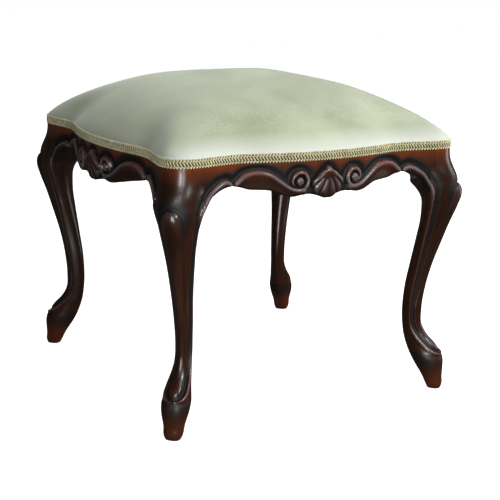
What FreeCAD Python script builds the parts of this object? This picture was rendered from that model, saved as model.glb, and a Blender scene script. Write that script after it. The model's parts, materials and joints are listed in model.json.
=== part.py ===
import FreeCAD, Part
import os
from math import acos, atan, ceil, cos, degrees, pi, radians, sin, sqrt, tan

from FreeCAD import Placement, Rotation, Vector

# Upholstered stool with four cabriole legs, four carved aprons and a crowned seat.
# Millimetres, +Z up, the origin on the floor under the middle of the seat.
# Front is -Y. The stool is mirror symmetric about both vertical planes.

# Curves are made of short straight lines that stray from them by no more than this
facet_slack = 0.6
hidden_slack = 3.0
bar_sides = 8
small_bar_sides = 5
tack_sides = 4
volute_sides = 10
rib_sides = 7
leg_sides = 12

# Plan of the seat line, which is the outer face of the aprons under the gimp
corner_half_x = 240.0
corner_half_y = 245.0
corner_radius = 30.0
bow_rise = 9.5
bow_tangents_rise = 22.8
waist_set_back = 13.0
waist_from_corner = 105.0
waist_radius = 110.0
ear_from_corner = 42.0
ear_set_back = 0.5
ear_radius = 120.0

# Heights: the frame from the floor, the shoulder below its top and the seat above the shoulder
frame_top = 400.0
shoulder_drop = 16.0
seat_rise = 97.5

# Legs: the foot's middle and the joints, measured in from the corner lines
foot_inset = 10.5
joint_from_foot = 39.5
ankle_z = 125.0
ankle_nose = -28.6
ankle_depth = 28.6
ankle_half_width = 11.6
knee_drop = 83.0
knee_reach = 20.5
knee_to_post = 14.0

# Aprons: heights are measured down from the frame's top, and the arch in from the joint
apron_waist_thickness = 24.0
apron_depth = 78.5
arch_crown_drop = 47.5
arch_crown_from_joint = 46.0
cheek_under_arch = 14.0
lobe_drop = 66.8
lobe_half_width = 9.0
lobe_side_rise = 2.6
shell_drop = 71.5
shell_boss_drop = 29.0
shell_boss_radius = 5.2
shell_boss_relief = 5.0
shell_spread = 62.0
shell_ribs = 7
shell_rib_root = 3.0
shell_rib_end = 6.6
shell_side_shortening = 0.3
bead_relief = 3.4
bead_width = 8.0
notch_drop = 42.5
notch_from_joint = 48.0
leaf_bend_from_joint = 24.0
leaf_over_arch_foot = 15.5
volute_at = 45.0
volute_drop = 44.0
volute_radius = 16.5
volute_relief = 5.4
volute_root = 6.0
volute_rim = 4.0
volute_groove = 4.5
volute_groove_relief = 1.8
volute_button_draft = 2.0

# The apron's lower edge from the lobe under a volute to the arch: the share of the way,
# and the drop as a share of the apron's depth
edge_line = ((0.233, 0.780), (0.389, 0.715), (0.600, 0.697), (0.811, 0.650))

# The S-scroll from the volute to the notch, in the same way
scroll_line = ((0.0, 0.701), (0.182, 0.601), (0.341, 0.441), (0.659, 0.344))

# Joinery
dowel_radius = 5.0
dowel_length = 36.0
dowel_gap = 0.1
dowel_end_gap = 1.0
dowel_low_drop = 58.0
dowel_pitch = 32.0
dowel_stagger = 11.0
dowel_from_inner_face = 14.0
block_leg = 55.0
block_top_gap = 4.0
block_height = 32.0
screw_shank_radius = 2.2
screw_head_radius = 4.2
screw_head_height = 3.0
screw_length = 32.0
screw_gap = 0.15
screw_bite = 13.0
screw_from_joint = 25.0
counterbore_gap = 0.6

# Webbing under the seat
strap_width = 50.0
strap_thickness = 1.2
strap_pitch = 80.0
straps_each_way = 5
strap_rise = 0.75
strap_end_margin = 5.0
strap_fold = 16.0
tack_head_radius = 3.0
tack_head_height = 0.6
tack_shank_radius = 0.9
tack_length = 11.0
tack_pitch = 24.0

# Upholstery
cloth_thickness = 0.8
cover_thickness = 1.2
wadding_thickness = 5.0
gimp_height = 12.0
gimp_thickness = 1.8
gimp_proud = 0.4
soft_gap = 0.3
lay_gap = 0.1
hessian_margin = 12.0
dust_lip = 9.5
staple_width = 10.0
staple_wire = 0.7
staple_leg = 6.0
staples_per_side = 4
cover_tack_radius = 1.8
cover_tacks = 32

# Crown of the seat: how its height falls off from the middle to the seat line
crown_power = 2.71
crown_roundness = 0.858
crown_start_rise = 11.3
crown_plan_power = 5.0
crown_plan_fullness = 1.03
crown_plan_run = 0.4

# The rings of each layer, as shares of the way out from the middle
cover_shares = (0.19, 0.5, 0.74, 0.88, 0.967)
lining_shares = cover_shares[:-1]
foam_shares = lining_shares

# What follows from those sizes
foot_x = corner_half_x - foot_inset
foot_y = corner_half_y - foot_inset
joint_x = foot_x - joint_from_foot
joint_y = foot_y - joint_from_foot
shank = frame_top - knee_drop - ankle_z
knee_z = frame_top - knee_drop
arch_foot_z = frame_top - apron_depth
seat_shoulder_z = frame_top - shoulder_drop
seat_crown_z = seat_shoulder_z + seat_rise
crown_start_z = seat_shoulder_z + crown_start_rise
inner_x = corner_half_x - waist_set_back - apron_waist_thickness
inner_y = corner_half_y - waist_set_back - apron_waist_thickness
gimp_back = gimp_proud - gimp_thickness
cover_face = gimp_back - soft_gap - tack_head_height
cover_back = cover_face - cover_thickness
rebate_face = cover_back - soft_gap
block_top_z = frame_top - block_top_gap
block_foot_z = block_top_z - block_height
block_middle_z = block_top_z - block_height / 2
hessian_z = frame_top + 2 * strap_thickness + tack_head_height + lay_gap
foam_z = hessian_z + cloth_thickness + lay_gap
wadding_depth = cover_thickness + soft_gap
foam_depth = wadding_depth + wadding_thickness + soft_gap
beyond = max(corner_half_x, corner_half_y) + 60


# General shapes

def save(name, shape):
    """Writes one node as a STEP file."""
    shape.exportStep("parts/" + name + ".step")


def box(x0, x1, y0, y1, z0, z1):
    """A box between two corners."""
    return Part.makeBox(x1 - x0, y1 - y0, z1 - z0, Vector(x0, y0, z0))


def mirror_x(shape):
    return shape.mirror(Vector(0, 0, 0), Vector(1, 0, 0))


def mirror_y(shape):
    return shape.mirror(Vector(0, 0, 0), Vector(0, 1, 0))


def quarter_turn(shape):
    """Turns a front piece to the left side."""
    turned = shape.copy()
    turned.rotate(Vector(0, 0, 0), Vector(0, 0, 1), -90)
    return turned


def trace(pieces):
    """The points along arcs through three points and straight lines, joined in order."""
    points = []
    for piece in pieces:
        if len(piece) == 3:
            points += Part.Arc(*piece).toShape().discretize(Deflection=facet_slack)[:-1]
        else:
            points.append(piece[0])
    return points


def polygon(points):
    """A closed wire of straight lines."""
    return Part.makePolygon(points + [points[0]])


def raised(points, height):
    """A flat outline pushed straight up."""
    return Part.Face(polygon(points)).extrude(Vector(0, 0, height))


def triangle(a, b, c):
    return Part.Face(Part.makePolygon([a, b, c, a]))


def faceted(rings):
    """A solid through rings of equally many points: flat facets between them, flat ends."""
    faces = [Part.Face(polygon(rings[0])), Part.Face(polygon(rings[-1]))]
    for low, high in zip(rings, rings[1:]):
        for i in range(len(low)):
            faces.append(triangle(low[i - 1], low[i], high[i]))
            faces.append(triangle(low[i - 1], high[i], high[i - 1]))
    solid = Part.Solid(Part.Shell(faces))
    if solid.Volume < 0:
        solid.reverse()
    return solid


def turned(steps, sides, start, way):
    """A turned form along a direction, from its steps as (radius, distance)."""
    rings = []
    place = Placement(start, Rotation(Vector(0, 0, 1), way))
    for radius, distance in steps:
        angles = [2 * pi * i / sides for i in range(sides)]
        ring = [Vector(radius * cos(a), radius * sin(a), distance) for a in angles]
        rings.append([place.multVec(point) for point in ring])
    return faceted(rings)


def bar(radius, length, start, way, sides=bar_sides):
    return turned([(radius, 0), (radius, length)], sides, start, way)


# Plan outlines

def bow_radius(waist_at):
    """The radius of the bow in the middle of a side, between its waists."""
    slope = atan((bow_tangents_rise + waist_set_back) / waist_at)
    return (bow_tangents_rise - bow_rise) / (1 / cos(slope) - 1)


def side_corners(half_length, half_other):
    """One side of the seat line as (along, outwards, radius), up to the next corner."""
    waist_at = half_length - waist_from_corner
    ear_at = half_length - ear_from_corner
    waist_out = half_other - waist_set_back
    ear_out = half_other - ear_set_back
    return [
        (-half_length, half_other, corner_radius),
        (-ear_at, ear_out, ear_radius),
        (-waist_at, waist_out, waist_radius),
        (0, half_other + bow_tangents_rise, bow_radius(waist_at)),
        (waist_at, waist_out, waist_radius),
        (ear_at, ear_out, ear_radius),
    ]


def seat_corners(half_x, half_y):
    """The corners of the whole seat line with their rounding radii, anticlockwise."""
    front = side_corners(half_x, half_y)
    right = side_corners(half_y, half_x)
    corners = [(along, -out, radius) for along, out, radius in front]
    corners += [(out, along, radius) for along, out, radius in right]
    corners += [(-along, out, radius) for along, out, radius in front]
    corners += [(-out, -along, radius) for along, out, radius in right]
    return corners


def fitted_radii(sharp, turns, radii):
    """The radii, with those eased whose roundings would not fit on the line between them."""
    fits = [1.0] * len(radii)
    reaches = [radius * tan(turn / 2) for radius, turn in zip(radii, turns)]
    for i in range(len(radii)):
        room = (sharp[i] - sharp[i - 1]).Length / (reaches[i] + reaches[i - 1])
        fits[i] = min(fits[i], room)
        fits[i - 1] = min(fits[i - 1], room)
    return [radius * fit for radius, fit in zip(radii, fits)]


def seat_points(half_x, half_y, z, grow=0.0, slack=facet_slack):
    """A seat line at one height, grown outwards, as short straight lines."""
    corners = seat_corners(half_x, half_y)
    count = len(corners)
    sharp = [Vector(x, y, z) for x, y, radius in corners]
    ways = [(sharp[(i + 1) % count] - sharp[i]).normalize() for i in range(count)]
    turns = [ways[i - 1].getAngle(ways[i]) for i in range(count)]
    radii = fitted_radii(sharp, turns, [radius for x, y, radius in corners])
    points = []
    for i in range(count):
        turn = turns[i]
        inward = (ways[i] - ways[i - 1]).normalize()
        convex = ways[i - 1].cross(ways[i]).z > 0
        radius = radii[i]
        centre = sharp[i] + inward * (radius / cos(turn / 2))
        first = Vector(ways[i - 1].y, -ways[i - 1].x, 0) * (1 if convex else -1)
        steps = ceil(turn / (2 * acos(1 - slack / radius)))
        for step in range(steps + 1):
            angle = turn * step / steps * (1 if convex else -1)
            ray = Rotation(Vector(0, 0, 1), degrees(angle)).multVec(first)
            points.append(centre + ray * (radius + (grow if convex else -grow)))
    return points


def seat_prism(half_x, half_y, grow, z0, z1):
    """A seat line, grown or shrunk, as a solid between two heights."""
    return raised(seat_points(half_x, half_y, z0, grow), z1 - z0)


def rebate_cutter(half_x, half_y):
    """What is cut away outside the upholstery along the top of the frame."""
    block = box(-beyond, beyond, -beyond, beyond, seat_shoulder_z, frame_top + 1)
    return block.cut(seat_prism(half_x, half_y, rebate_face, seat_shoulder_z - 1, frame_top + 2))


# Dowels, for the corner at -X -Y

def dowel_pins(radius, length):
    """Two pins in each of the corner's two joints, staggered so that they pass each other."""
    pins = []
    for i in range(2):
        z = frame_top - dowel_low_drop + i * dowel_pitch
        middle_x = Vector(-joint_x - length / 2, -inner_y - dowel_from_inner_face, z)
        middle_y = Vector(-inner_x - dowel_from_inner_face, -joint_y - length / 2, z + dowel_stagger)
        pins.append(bar(radius, length, middle_x, Vector(1, 0, 0)))
        pins.append(bar(radius, length, middle_y, Vector(0, 1, 0)))
    return pins


# Legs

def leg_ring(z, nose, heel, half_width, widest, front_fullness, back_fullness):
    """One section of the leg: the nose points outwards along the diagonal."""
    front = nose - widest
    back = widest - heel
    side = [
        Vector(nose, 0, z),
        Vector(widest + front * front_fullness, half_width * front_fullness, z),
        Vector(widest, half_width, z),
        Vector(widest - back * back_fullness, half_width * back_fullness, z),
        Vector(heel, 0, z),
    ]
    guides = side + [Vector(p.x, -p.y, p.z) for p in side[3:0:-1]]
    count = len(guides)
    curve = Part.BSplineCurve()
    curve.interpolate(Points=guides, PeriodicFlag=True, Parameters=range(count + 1))
    return [curve.value(count * i / leg_sides) for i in range(leg_sides)]


def up_shank(share):
    """A height between the ankle and the knee."""
    return ankle_z + share * shank


def out_shank(share):
    """How far out the nose stands on its way from the ankle to the knee."""
    return ankle_nose + share * (knee_reach - ankle_nose)


def leg_loft():
    """The cabriole sweep from foot to knee, nose along +X, foot centre on the Z axis."""
    heel = ankle_nose - ankle_depth
    half = ankle_half_width
    rings = [
        (0, 10.0, -10.5, 10.8, 0, 0.76, 0.76),
        (3, 11.4, -12.0, 12.3, 0, 0.76, 0.76),
        (0.176 * ankle_z, 11.5, -22.1, 15.6, -5, 0.76, 0.74),
        (0.32 * ankle_z, 11.6, -34.0, 19.6, -9, 0.76, 0.70),
        (0.4 * ankle_z, 10.4, -40.2, 20.6, -14, 0.75, 0.66),
        (0.48 * ankle_z, 5.2, -45.0, 19.0, -19, 0.73, 0.66),
        (0.576 * ankle_z, -3.0, -49.5, 16.2, -26, 0.70, 0.68),
        (0.68 * ankle_z, -16.2, heel + 4, half + 1.8, -35, 0.68, 0.70),
        (ankle_z, ankle_nose, heel, half, -43, 0.62, 0.70),
        (up_shank(0.18), out_shank(0.07), heel + 2, half + 1.2, -40, 0.60, 0.70),
        (up_shank(0.39), out_shank(0.257), -48.8, 15.0, -33, 0.60, 0.70),
        (up_shank(0.6), out_shank(0.515), -41.6, 18.8, -26, 0.61, 0.70),
        (up_shank(0.755), out_shank(0.719), -36.8, 22.6, -20, 0.63, 0.70),
        (up_shank(0.885), out_shank(0.894), -36.0, 27.0, -18, 0.65, 0.70),
        (knee_z, knee_reach, -43.2, 32.0, -22, 0.66, 0.74),
        (knee_z + knee_to_post, knee_reach - 2.9, -54.0, 35.0, -26, 0.68, 0.78),
        (knee_z + 0.42 * knee_drop, knee_reach - 8.3, -54.0, 34.5, -27, 0.70, 0.78),
        (frame_top, knee_reach - 24.0, -50.0, 29.0, -27, 0.72, 0.78),
    ]
    return faceted([leg_ring(*ring) for ring in rings])


def front_left_leg():
    """The leg at -X -Y, with its post cut to the joints, drilled and rebated."""
    leg = leg_loft()
    leg.Placement = Placement(Vector(-foot_x, -foot_y, 0), Rotation(Vector(0, 0, 1), 225))
    post_foot = knee_z + knee_to_post
    cheek_foot = arch_foot_z - cheek_under_arch
    post = seat_prism(corner_half_x, corner_half_y, 0, post_foot, frame_top)
    leg = leg.fuse(post.common(box(-beyond, -joint_x, -beyond, -joint_y, post_foot, frame_top)))
    past_joint_x = box(-joint_x, 0, -beyond, 0, cheek_foot, frame_top + 1)
    past_joint_y = box(-beyond, 0, -joint_y, 0, cheek_foot, frame_top + 1)
    rebate = rebate_cutter(corner_half_x, corner_half_y)
    return leg.cut([past_joint_x, past_joint_y, rebate] + dowel_holes())


def dowel_holes():
    return dowel_pins(dowel_radius + dowel_gap, dowel_length + 2 * dowel_end_gap)


# Aprons, each modelled as the front one of a stool of its own half sizes

def at(along, drop):
    """A point on the face of an apron, seen square on, a drop below the frame's top."""
    return Vector(along, 0, frame_top - drop)


def along_face(line, start, end):
    """The points of a line whose lengths and drops are shares."""
    return [at(start + share * (end - start), drop * apron_depth) for share, drop in line]


def arcs(points):
    """Arcs through a run of points, each arc through three of them."""
    return [tuple(points[i:i + 3]) for i in range(0, len(points) - 2, 2)]


def flip(piece):
    """The same arc or line on the other half of the apron."""
    return tuple(Vector(-p.x, p.y, p.z) for p in reversed(piece))


def apron_outline(joint):
    """The face of an apron seen square on, in the XZ plane."""
    lobe_end = volute_at + lobe_half_width
    crown_at = joint - arch_crown_from_joint
    lobe_start = at(volute_at - lobe_half_width, lobe_drop - lobe_side_rise)
    edge = [lobe_start, at(lobe_end, lobe_drop)] + along_face(edge_line, lobe_end, crown_at)
    crown = at(crown_at, arch_crown_drop)
    foot = at(joint, apron_depth)
    bend = at(joint - 0.37 * arch_crown_from_joint, arch_crown_drop + 0.32 * (apron_depth - arch_crown_drop))
    right = arcs(edge + [crown, bend, foot])
    left = [flip(piece) for piece in reversed(right)]
    lobe = (left[-1][2], at(0, shell_drop), right[0][0])
    top_right = at(joint, 0)
    top_left = at(-joint, 0)
    rest = [(foot, top_right), (top_right, top_left), (top_left, left[0][0])]
    return trace(left + [lobe] + right + rest)


def through_face(points):
    """Pushes an outline in the XZ plane forwards, through the apron's face."""
    return Part.Face(polygon(points)).extrude(Vector(0, -beyond, 0))


def bead_band(upper):
    """A band under a run of arcs: the same arcs come back lower by the bead's width."""
    step = Vector(-bead_width / 3, 0, -bead_width)
    lower = [tuple(p + step for p in reversed(piece)) for piece in reversed(upper)]
    outer_tip = (upper[-1][2], lower[0][0])
    inner_tip = (lower[-1][2], upper[0][0])
    return through_face(trace(upper + [outer_tip] + lower + [inner_tip]))


def right_beads(joint):
    """The raised beads on the right half: the S-scroll, and the leaf that runs to the leg."""
    notch_at = joint - notch_from_joint
    notch = at(notch_at, notch_drop)
    scroll = along_face(scroll_line, volute_at + lobe_half_width, notch_at) + [notch]
    leaf_bend = at(joint - leaf_bend_from_joint, notch_drop)
    leaf = [notch, leaf_bend, at(joint, apron_depth - leaf_over_arch_foot)]
    return [bead_band(arcs(scroll)), bead_band(arcs(leaf))]


def volute(side, face_y):
    """A curled-over scroll end: a rim, a groove and a round button, standing off the face."""
    crest = volute_radius - volute_rim
    groove = crest - volute_groove
    steps = [
        (volute_radius, -volute_root), (volute_radius, 0), (crest, volute_relief - 1),
        (groove, volute_groove_relief), (groove - volute_button_draft, volute_relief),
    ]
    start = Vector(side * volute_at, face_y, frame_top - volute_drop)
    return turned(steps, volute_sides, start, Vector(0, -1, 0))


def shell(face_y):
    """Ribs that fan down from a round boss and swell towards the apron's lower edge."""
    boss = Vector(0, face_y, frame_top - shell_boss_drop)
    steps = [(shell_boss_radius, -volute_root), (shell_boss_radius / 2, shell_boss_relief)]
    shapes = [turned(steps, bar_sides, boss, Vector(0, -1, 0))]
    for i in range(shell_ribs):
        share = 2 * i / (shell_ribs - 1) - 1
        turn = radians(shell_spread) * share
        length = (shell_drop - shell_boss_drop) * (1 - shell_side_shortening * abs(share))
        way = Vector(sin(turn), 0, -cos(turn))
        rib = [(shell_rib_root, 0), (shell_rib_end, length)]
        shapes.append(turned(rib, rib_sides, boss, way))
    return shapes


def apron(half_x, half_y):
    """The front apron of a stool of these half sizes: body, beads, volutes and shell."""
    joint = half_x - foot_inset - joint_from_foot
    inner = half_y - waist_set_back - apron_waist_thickness
    low = arch_foot_z - 1
    outline = through_face(apron_outline(joint))
    space = box(-joint, joint, -beyond, -inner, low, frame_top)
    body = seat_prism(half_x, half_y, 0, low, frame_top).common(outline).common(space)
    raised_plan = seat_prism(half_x, half_y, bead_relief, low, seat_shoulder_z)
    carving = []
    for band in right_beads(joint):
        strip = raised_plan.common(band).common(outline).common(space)
        carving.append(strip)
        carving.append(mirror_x(strip))
    bow = bow_radius(half_x - waist_from_corner)
    bow_y = -half_y - bow_rise
    volute_y = bow_y + bow - sqrt(bow ** 2 - volute_at ** 2)
    front_part = box(-joint, joint, -beyond, bow_y + waist_set_back, low, seat_shoulder_z - 1)
    for piece in [volute(1, volute_y), volute(-1, volute_y)] + shell(bow_y):
        carving.append(piece.common(outline).common(front_part))
    return body.fuse(carving).cut(rebate_cutter(half_x, half_y))


# Corner blocks and their screws, for the corner at -X -Y

def screw_starts():
    """Where each screw's head ends up in the block, and the way it is driven."""
    return [
        (Vector(-joint_x + screw_from_joint, -inner_y + screw_bite, block_middle_z), Vector(0, -1, 0)),
        (Vector(-inner_x + screw_bite, -joint_y + screw_from_joint, block_middle_z), Vector(-1, 0, 0)),
    ]


def block_screws(gap):
    """The two screws of a block, each square to its apron, grown by a gap."""
    shank = screw_shank_radius + gap
    steps = [(screw_head_radius + gap, 0), (shank, screw_head_height), (shank, screw_length + gap)]
    return [turned(steps, small_bar_sides, start, way) for start, way in screw_starts()]


def counterbores():
    """The flat-bottomed pockets that the screw heads sit in."""
    radius = screw_head_radius + counterbore_gap
    return [bar(radius, block_leg, start, way * -1) for start, way in screw_starts()]


def corner_block():
    """A block glued and screwed inside the corner, notched round the leg's post."""
    points = [
        Vector(-joint_x, -inner_y, block_foot_z),
        Vector(-joint_x + block_leg, -inner_y, block_foot_z),
        Vector(-inner_x, -joint_y + block_leg, block_foot_z),
        Vector(-inner_x, -joint_y, block_foot_z),
        Vector(-joint_x, -joint_y, block_foot_z),
    ]
    return raised(points, block_height).cut(block_screws(screw_gap) + counterbores())


# Webbing

def strap_places():
    middle = (straps_each_way - 1) / 2
    return [(i - middle) * strap_pitch for i in range(straps_each_way)]


def strap(index, half_end, half_opening, place, over_first):
    """One strap along X: it weaves over and under the others, its ends folded on the rails."""
    low = frame_top
    line = [(-half_end, 0), (-half_opening, 0)]
    for j, crossing in enumerate(strap_places()):
        over = (index + j) % 2 == (0 if over_first else 1)
        lift = strap_rise if over else -strap_rise
        reach = strap_width / 2 + 2
        line += [(crossing - reach, lift), (crossing + reach, lift)]
    line += [(half_opening, 0), (half_end, 0)]
    fold = half_end - strap_fold
    top = [(s, lift + strap_thickness) for s, lift in line[1:-1]]
    top = [(-half_end, 2 * strap_thickness), (-fold, 2 * strap_thickness), (-fold, strap_thickness)] + top
    top += [(fold, strap_thickness), (fold, 2 * strap_thickness), (half_end, 2 * strap_thickness)]
    edge = place - strap_width / 2
    points = [Vector(s, edge, low + lift) for s, lift in line]
    points += [Vector(s, edge, low + lift) for s, lift in reversed(top)]
    return Part.Face(polygon(points)).extrude(Vector(0, strap_width, 0))


def strap_end(half_size):
    """How far from the middle a strap ends, on the aprons' tops."""
    return half_size - waist_set_back - strap_end_margin


def tack(head_radius, length, place, way):
    """A tack: a flat round head with a tapering shank under it."""
    steps = [
        (head_radius, 0), (head_radius, tack_head_height),
        (tack_shank_radius, tack_head_height), (tack_shank_radius / 4, length),
    ]
    return turned(steps, tack_sides, place, way)


def webbing_tacks():
    """A row of tacks through each folded strap end."""
    tacks = []
    z = frame_top + 2 * strap_thickness + tack_head_height
    down = Vector(0, 0, -1)
    for place in strap_places():
        for side in (-1, 1):
            for step in (-0.5, 0.5):
                row = place + step * tack_pitch
                x = side * (strap_end(corner_half_x) - strap_fold / 2)
                tacks.append(tack(tack_head_radius, tack_length, Vector(x, row, z), down))
                y = side * (strap_end(corner_half_y) - strap_fold / 2)
                tacks.append(tack(tack_head_radius, tack_length, Vector(row, y, z), down))
    return Part.makeCompound(tacks)


# Seat layers

def crown_height(share):
    """The height of the seat's outer surface at a share of the way out to the seat line."""
    return crown_start_z + (seat_crown_z - crown_start_z) * (1 - share ** crown_power) ** crown_roundness


def crown_ring(share, depth, slack=facet_slack, shrink=0.0):
    """One ring of the crown, a depth under its outer surface, rounder towards the middle."""
    step = 0.001
    run = 2 * step * corner_half_x
    rise = crown_height(share - step) - crown_height(share + step)
    length = sqrt(run ** 2 + rise ** 2)
    scale = share - depth * rise / length / corner_half_x
    z = crown_height(share) - depth * run / length
    return outline_ring(scale, z, slack, shrink)


def outline_ring(scale, z, slack=facet_slack, shrink=0.0):
    """The seat line scaled towards the middle, where it blends into a rounded square."""
    blend = min(1, (1 - scale) / crown_plan_run)
    points = []
    for point in seat_points(corner_half_x, corner_half_y, 0, -shrink, slack):
        size = abs(point.x / corner_half_x) ** crown_plan_power
        size += abs(point.y / corner_half_y) ** crown_plan_power
        rounder = crown_plan_fullness / size ** (1 / crown_plan_power)
        points.append(point * (scale * (1 + (rounder - 1) * blend)) + Vector(0, 0, z))
    return points


def cover():
    """The top cover: a crown that draws in to its tacked skirt, open underneath."""
    shoulder = seat_shoulder_z + gimp_height + soft_gap
    skirt = seat_shoulder_z + soft_gap
    rings = [crown_ring(share, cover_thickness) for share in lining_shares]
    rings.append(seat_points(corner_half_x, corner_half_y, frame_top + lay_gap, cover_back))
    rings.append(seat_points(corner_half_x, corner_half_y, skirt, cover_back))
    rings.append(seat_points(corner_half_x, corner_half_y, skirt, cover_face))
    rings.append(seat_points(corner_half_x, corner_half_y, shoulder, cover_face))
    rings.append(outline_ring(0.9982, shoulder))
    rings += [crown_ring(share, 0) for share in reversed(cover_shares)]
    return faceted(rings)


def hidden_rings(shares, depth):
    """Rings of a layer under the cover, made of longer lines and kept clear of it."""
    return [crown_ring(share, depth, hidden_slack, hidden_slack) for share in shares]


def wadding():
    """A soft layer between the cover and the foam."""
    rings = hidden_rings(foam_shares, foam_depth - soft_gap)
    rings.append(outline_ring(0.951, foam_z, hidden_slack, hidden_slack))
    rings.append(outline_ring(0.972, foam_z, hidden_slack, hidden_slack))
    return faceted(rings + hidden_rings(reversed(lining_shares), wadding_depth))


def foam():
    """The foam pad, flat underneath."""
    rings = [outline_ring(0.948, foam_z, hidden_slack, hidden_slack)]
    return faceted(rings + hidden_rings(reversed(foam_shares), foam_depth))


def hessian():
    """The base cloth over the webbing."""
    points = seat_points(corner_half_x, corner_half_y, hessian_z, -hessian_margin, hidden_slack)
    return raised(points, cloth_thickness)


def gimp():
    """The braid glued over the tacks, standing on the frame's shoulder."""
    low = seat_shoulder_z
    high = low + gimp_height
    outside = seat_prism(corner_half_x, corner_half_y, gimp_proud, low, high)
    return outside.cut(seat_prism(corner_half_x, corner_half_y, gimp_back, low - 1, high + 1))


def tacks_under_gimp():
    """Tacks through the cover's skirt, evenly spaced round the seat."""
    height = seat_shoulder_z + gimp_height / 2
    line = polygon(seat_points(corner_half_x, corner_half_y, height, cover_face))
    points = line.discretize(cover_tacks * 20 + 1)
    tacks = []
    for i in range(cover_tacks):
        here = points[i * 20 + 10]
        along = (points[i * 20 + 11] - points[i * 20 + 9]).normalize()
        inward = Vector(-along.y, along.x, 0)
        if inward.dot(here) > 0:
            inward = inward * -1
        tacks.append(tack(cover_tack_radius, tack_length, here - inward * tack_head_height, inward))
    return Part.makeCompound(tacks)


def inside_plan(gap):
    """The opening inside the frame, notched at the legs' posts, as points at one height."""
    x = inner_x - gap
    y = inner_y - gap
    post_x = joint_x - gap
    post_y = joint_y - gap
    quarter = [(x, post_y), (post_x, post_y), (post_x, y)]
    plan = quarter + [(-px, py) for px, py in reversed(quarter)]
    return plan + [(-px, -py) for px, py in plan]


def dust_cover():
    """Black cloth under the blocks, its edge turned down against the aprons' inner faces."""
    top = block_foot_z - lay_gap
    low = top - dust_lip
    outer = [Vector(x, y, low) for x, y in inside_plan(soft_gap)]
    inner = [Vector(x, y, low) for x, y in inside_plan(soft_gap + cloth_thickness)]
    return raised(outer, dust_lip).cut(raised(inner, dust_lip - cloth_thickness))


def dust_cover_staples():
    """Staples through the turned-down edge of the dust cover."""
    z = block_foot_z - lay_gap - dust_lip / 2
    half = staple_width / 2
    shapes = []
    for face, reach, turn in ((inner_y, joint_x, 0), (inner_x, joint_y, 90)):
        back = -face + soft_gap + cloth_thickness
        for i in range(staples_per_side):
            middle = (2 * (i + 0.5) / staples_per_side - 1) * (reach - half)
            right_leg = [(half, back - staple_leg), (half - staple_wire, back - staple_leg)]
            side = [(half, back + staple_wire)] + right_leg + [(half - staple_wire, back)]
            plan = side + [(-x, y) for x, y in reversed(side)]
            staple = raised([Vector(middle + x, y, z) for x, y in plan], staple_wire)
            staple.rotate(Vector(0, 0, 0), Vector(0, 0, 1), -turn)
            opposite = staple.copy()
            opposite.rotate(Vector(0, 0, 0), Vector(0, 0, 1), 180)
            shapes += [staple, opposite]
    return Part.makeCompound(shapes)


# The whole stool

def at_corners(shape):
    """A piece of the front left corner and its mirror images at the other three."""
    return {
        "front_left": shape,
        "front_right": mirror_x(shape),
        "back_left": mirror_y(shape),
        "back_right": mirror_x(mirror_y(shape)),
    }


def at_all_corners(shapes):
    """Like pieces of the front left corner, repeated at every corner, as one list."""
    return [copy for shape in shapes for copy in at_corners(shape).values()]


def build():
    os.makedirs("parts", exist_ok=True)
    for name, shape in at_corners(front_left_leg()).items():
        save("leg_" + name, shape)
    for name, shape in at_corners(corner_block()).items():
        save("corner_block_" + name, shape)
    holes = at_all_corners(dowel_holes() + block_screws(screw_gap))
    front = apron(corner_half_x, corner_half_y).cut(holes)
    left = quarter_turn(apron(corner_half_y, corner_half_x)).cut(holes)
    save("apron_front", front)
    save("apron_back", mirror_y(front))
    save("apron_left", left)
    save("apron_right", mirror_x(left))
    save("corner_block_screws", Part.makeCompound(at_all_corners(block_screws(0))))
    dowels = at_all_corners(dowel_pins(dowel_radius, dowel_length))
    save("apron_dowels", Part.makeCompound(dowels))
    for i, place in enumerate(strap_places()):
        across = strap(i, strap_end(corner_half_x), inner_x, place, True)
        along = strap(i, strap_end(corner_half_y), inner_y, -place, False)
        along.rotate(Vector(0, 0, 0), Vector(0, 0, 1), 90)
        save("webbing_across_%d" % (i + 1), across)
        save("webbing_along_%d" % (i + 1), along)
    save("webbing_tacks", webbing_tacks())
    save("hessian", hessian())
    save("seat_foam", foam())
    save("wadding", wadding())
    save("velvet_cover", cover())
    save("cover_tacks", tacks_under_gimp())
    save("gimp_braid", gimp())
    save("dust_cover", dust_cover())
    save("dust_cover_staples", dust_cover_staples())


build()
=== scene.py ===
import json
from math import acos, atan, ceil, cos, log, pi, radians, sin

import bpy
import numpy as np
from bpy.props import FloatProperty, FloatVectorProperty, IntProperty, PointerProperty
from bpy.types import Operator, Panel, PropertyGroup
from mathutils import Matrix, Vector

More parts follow.
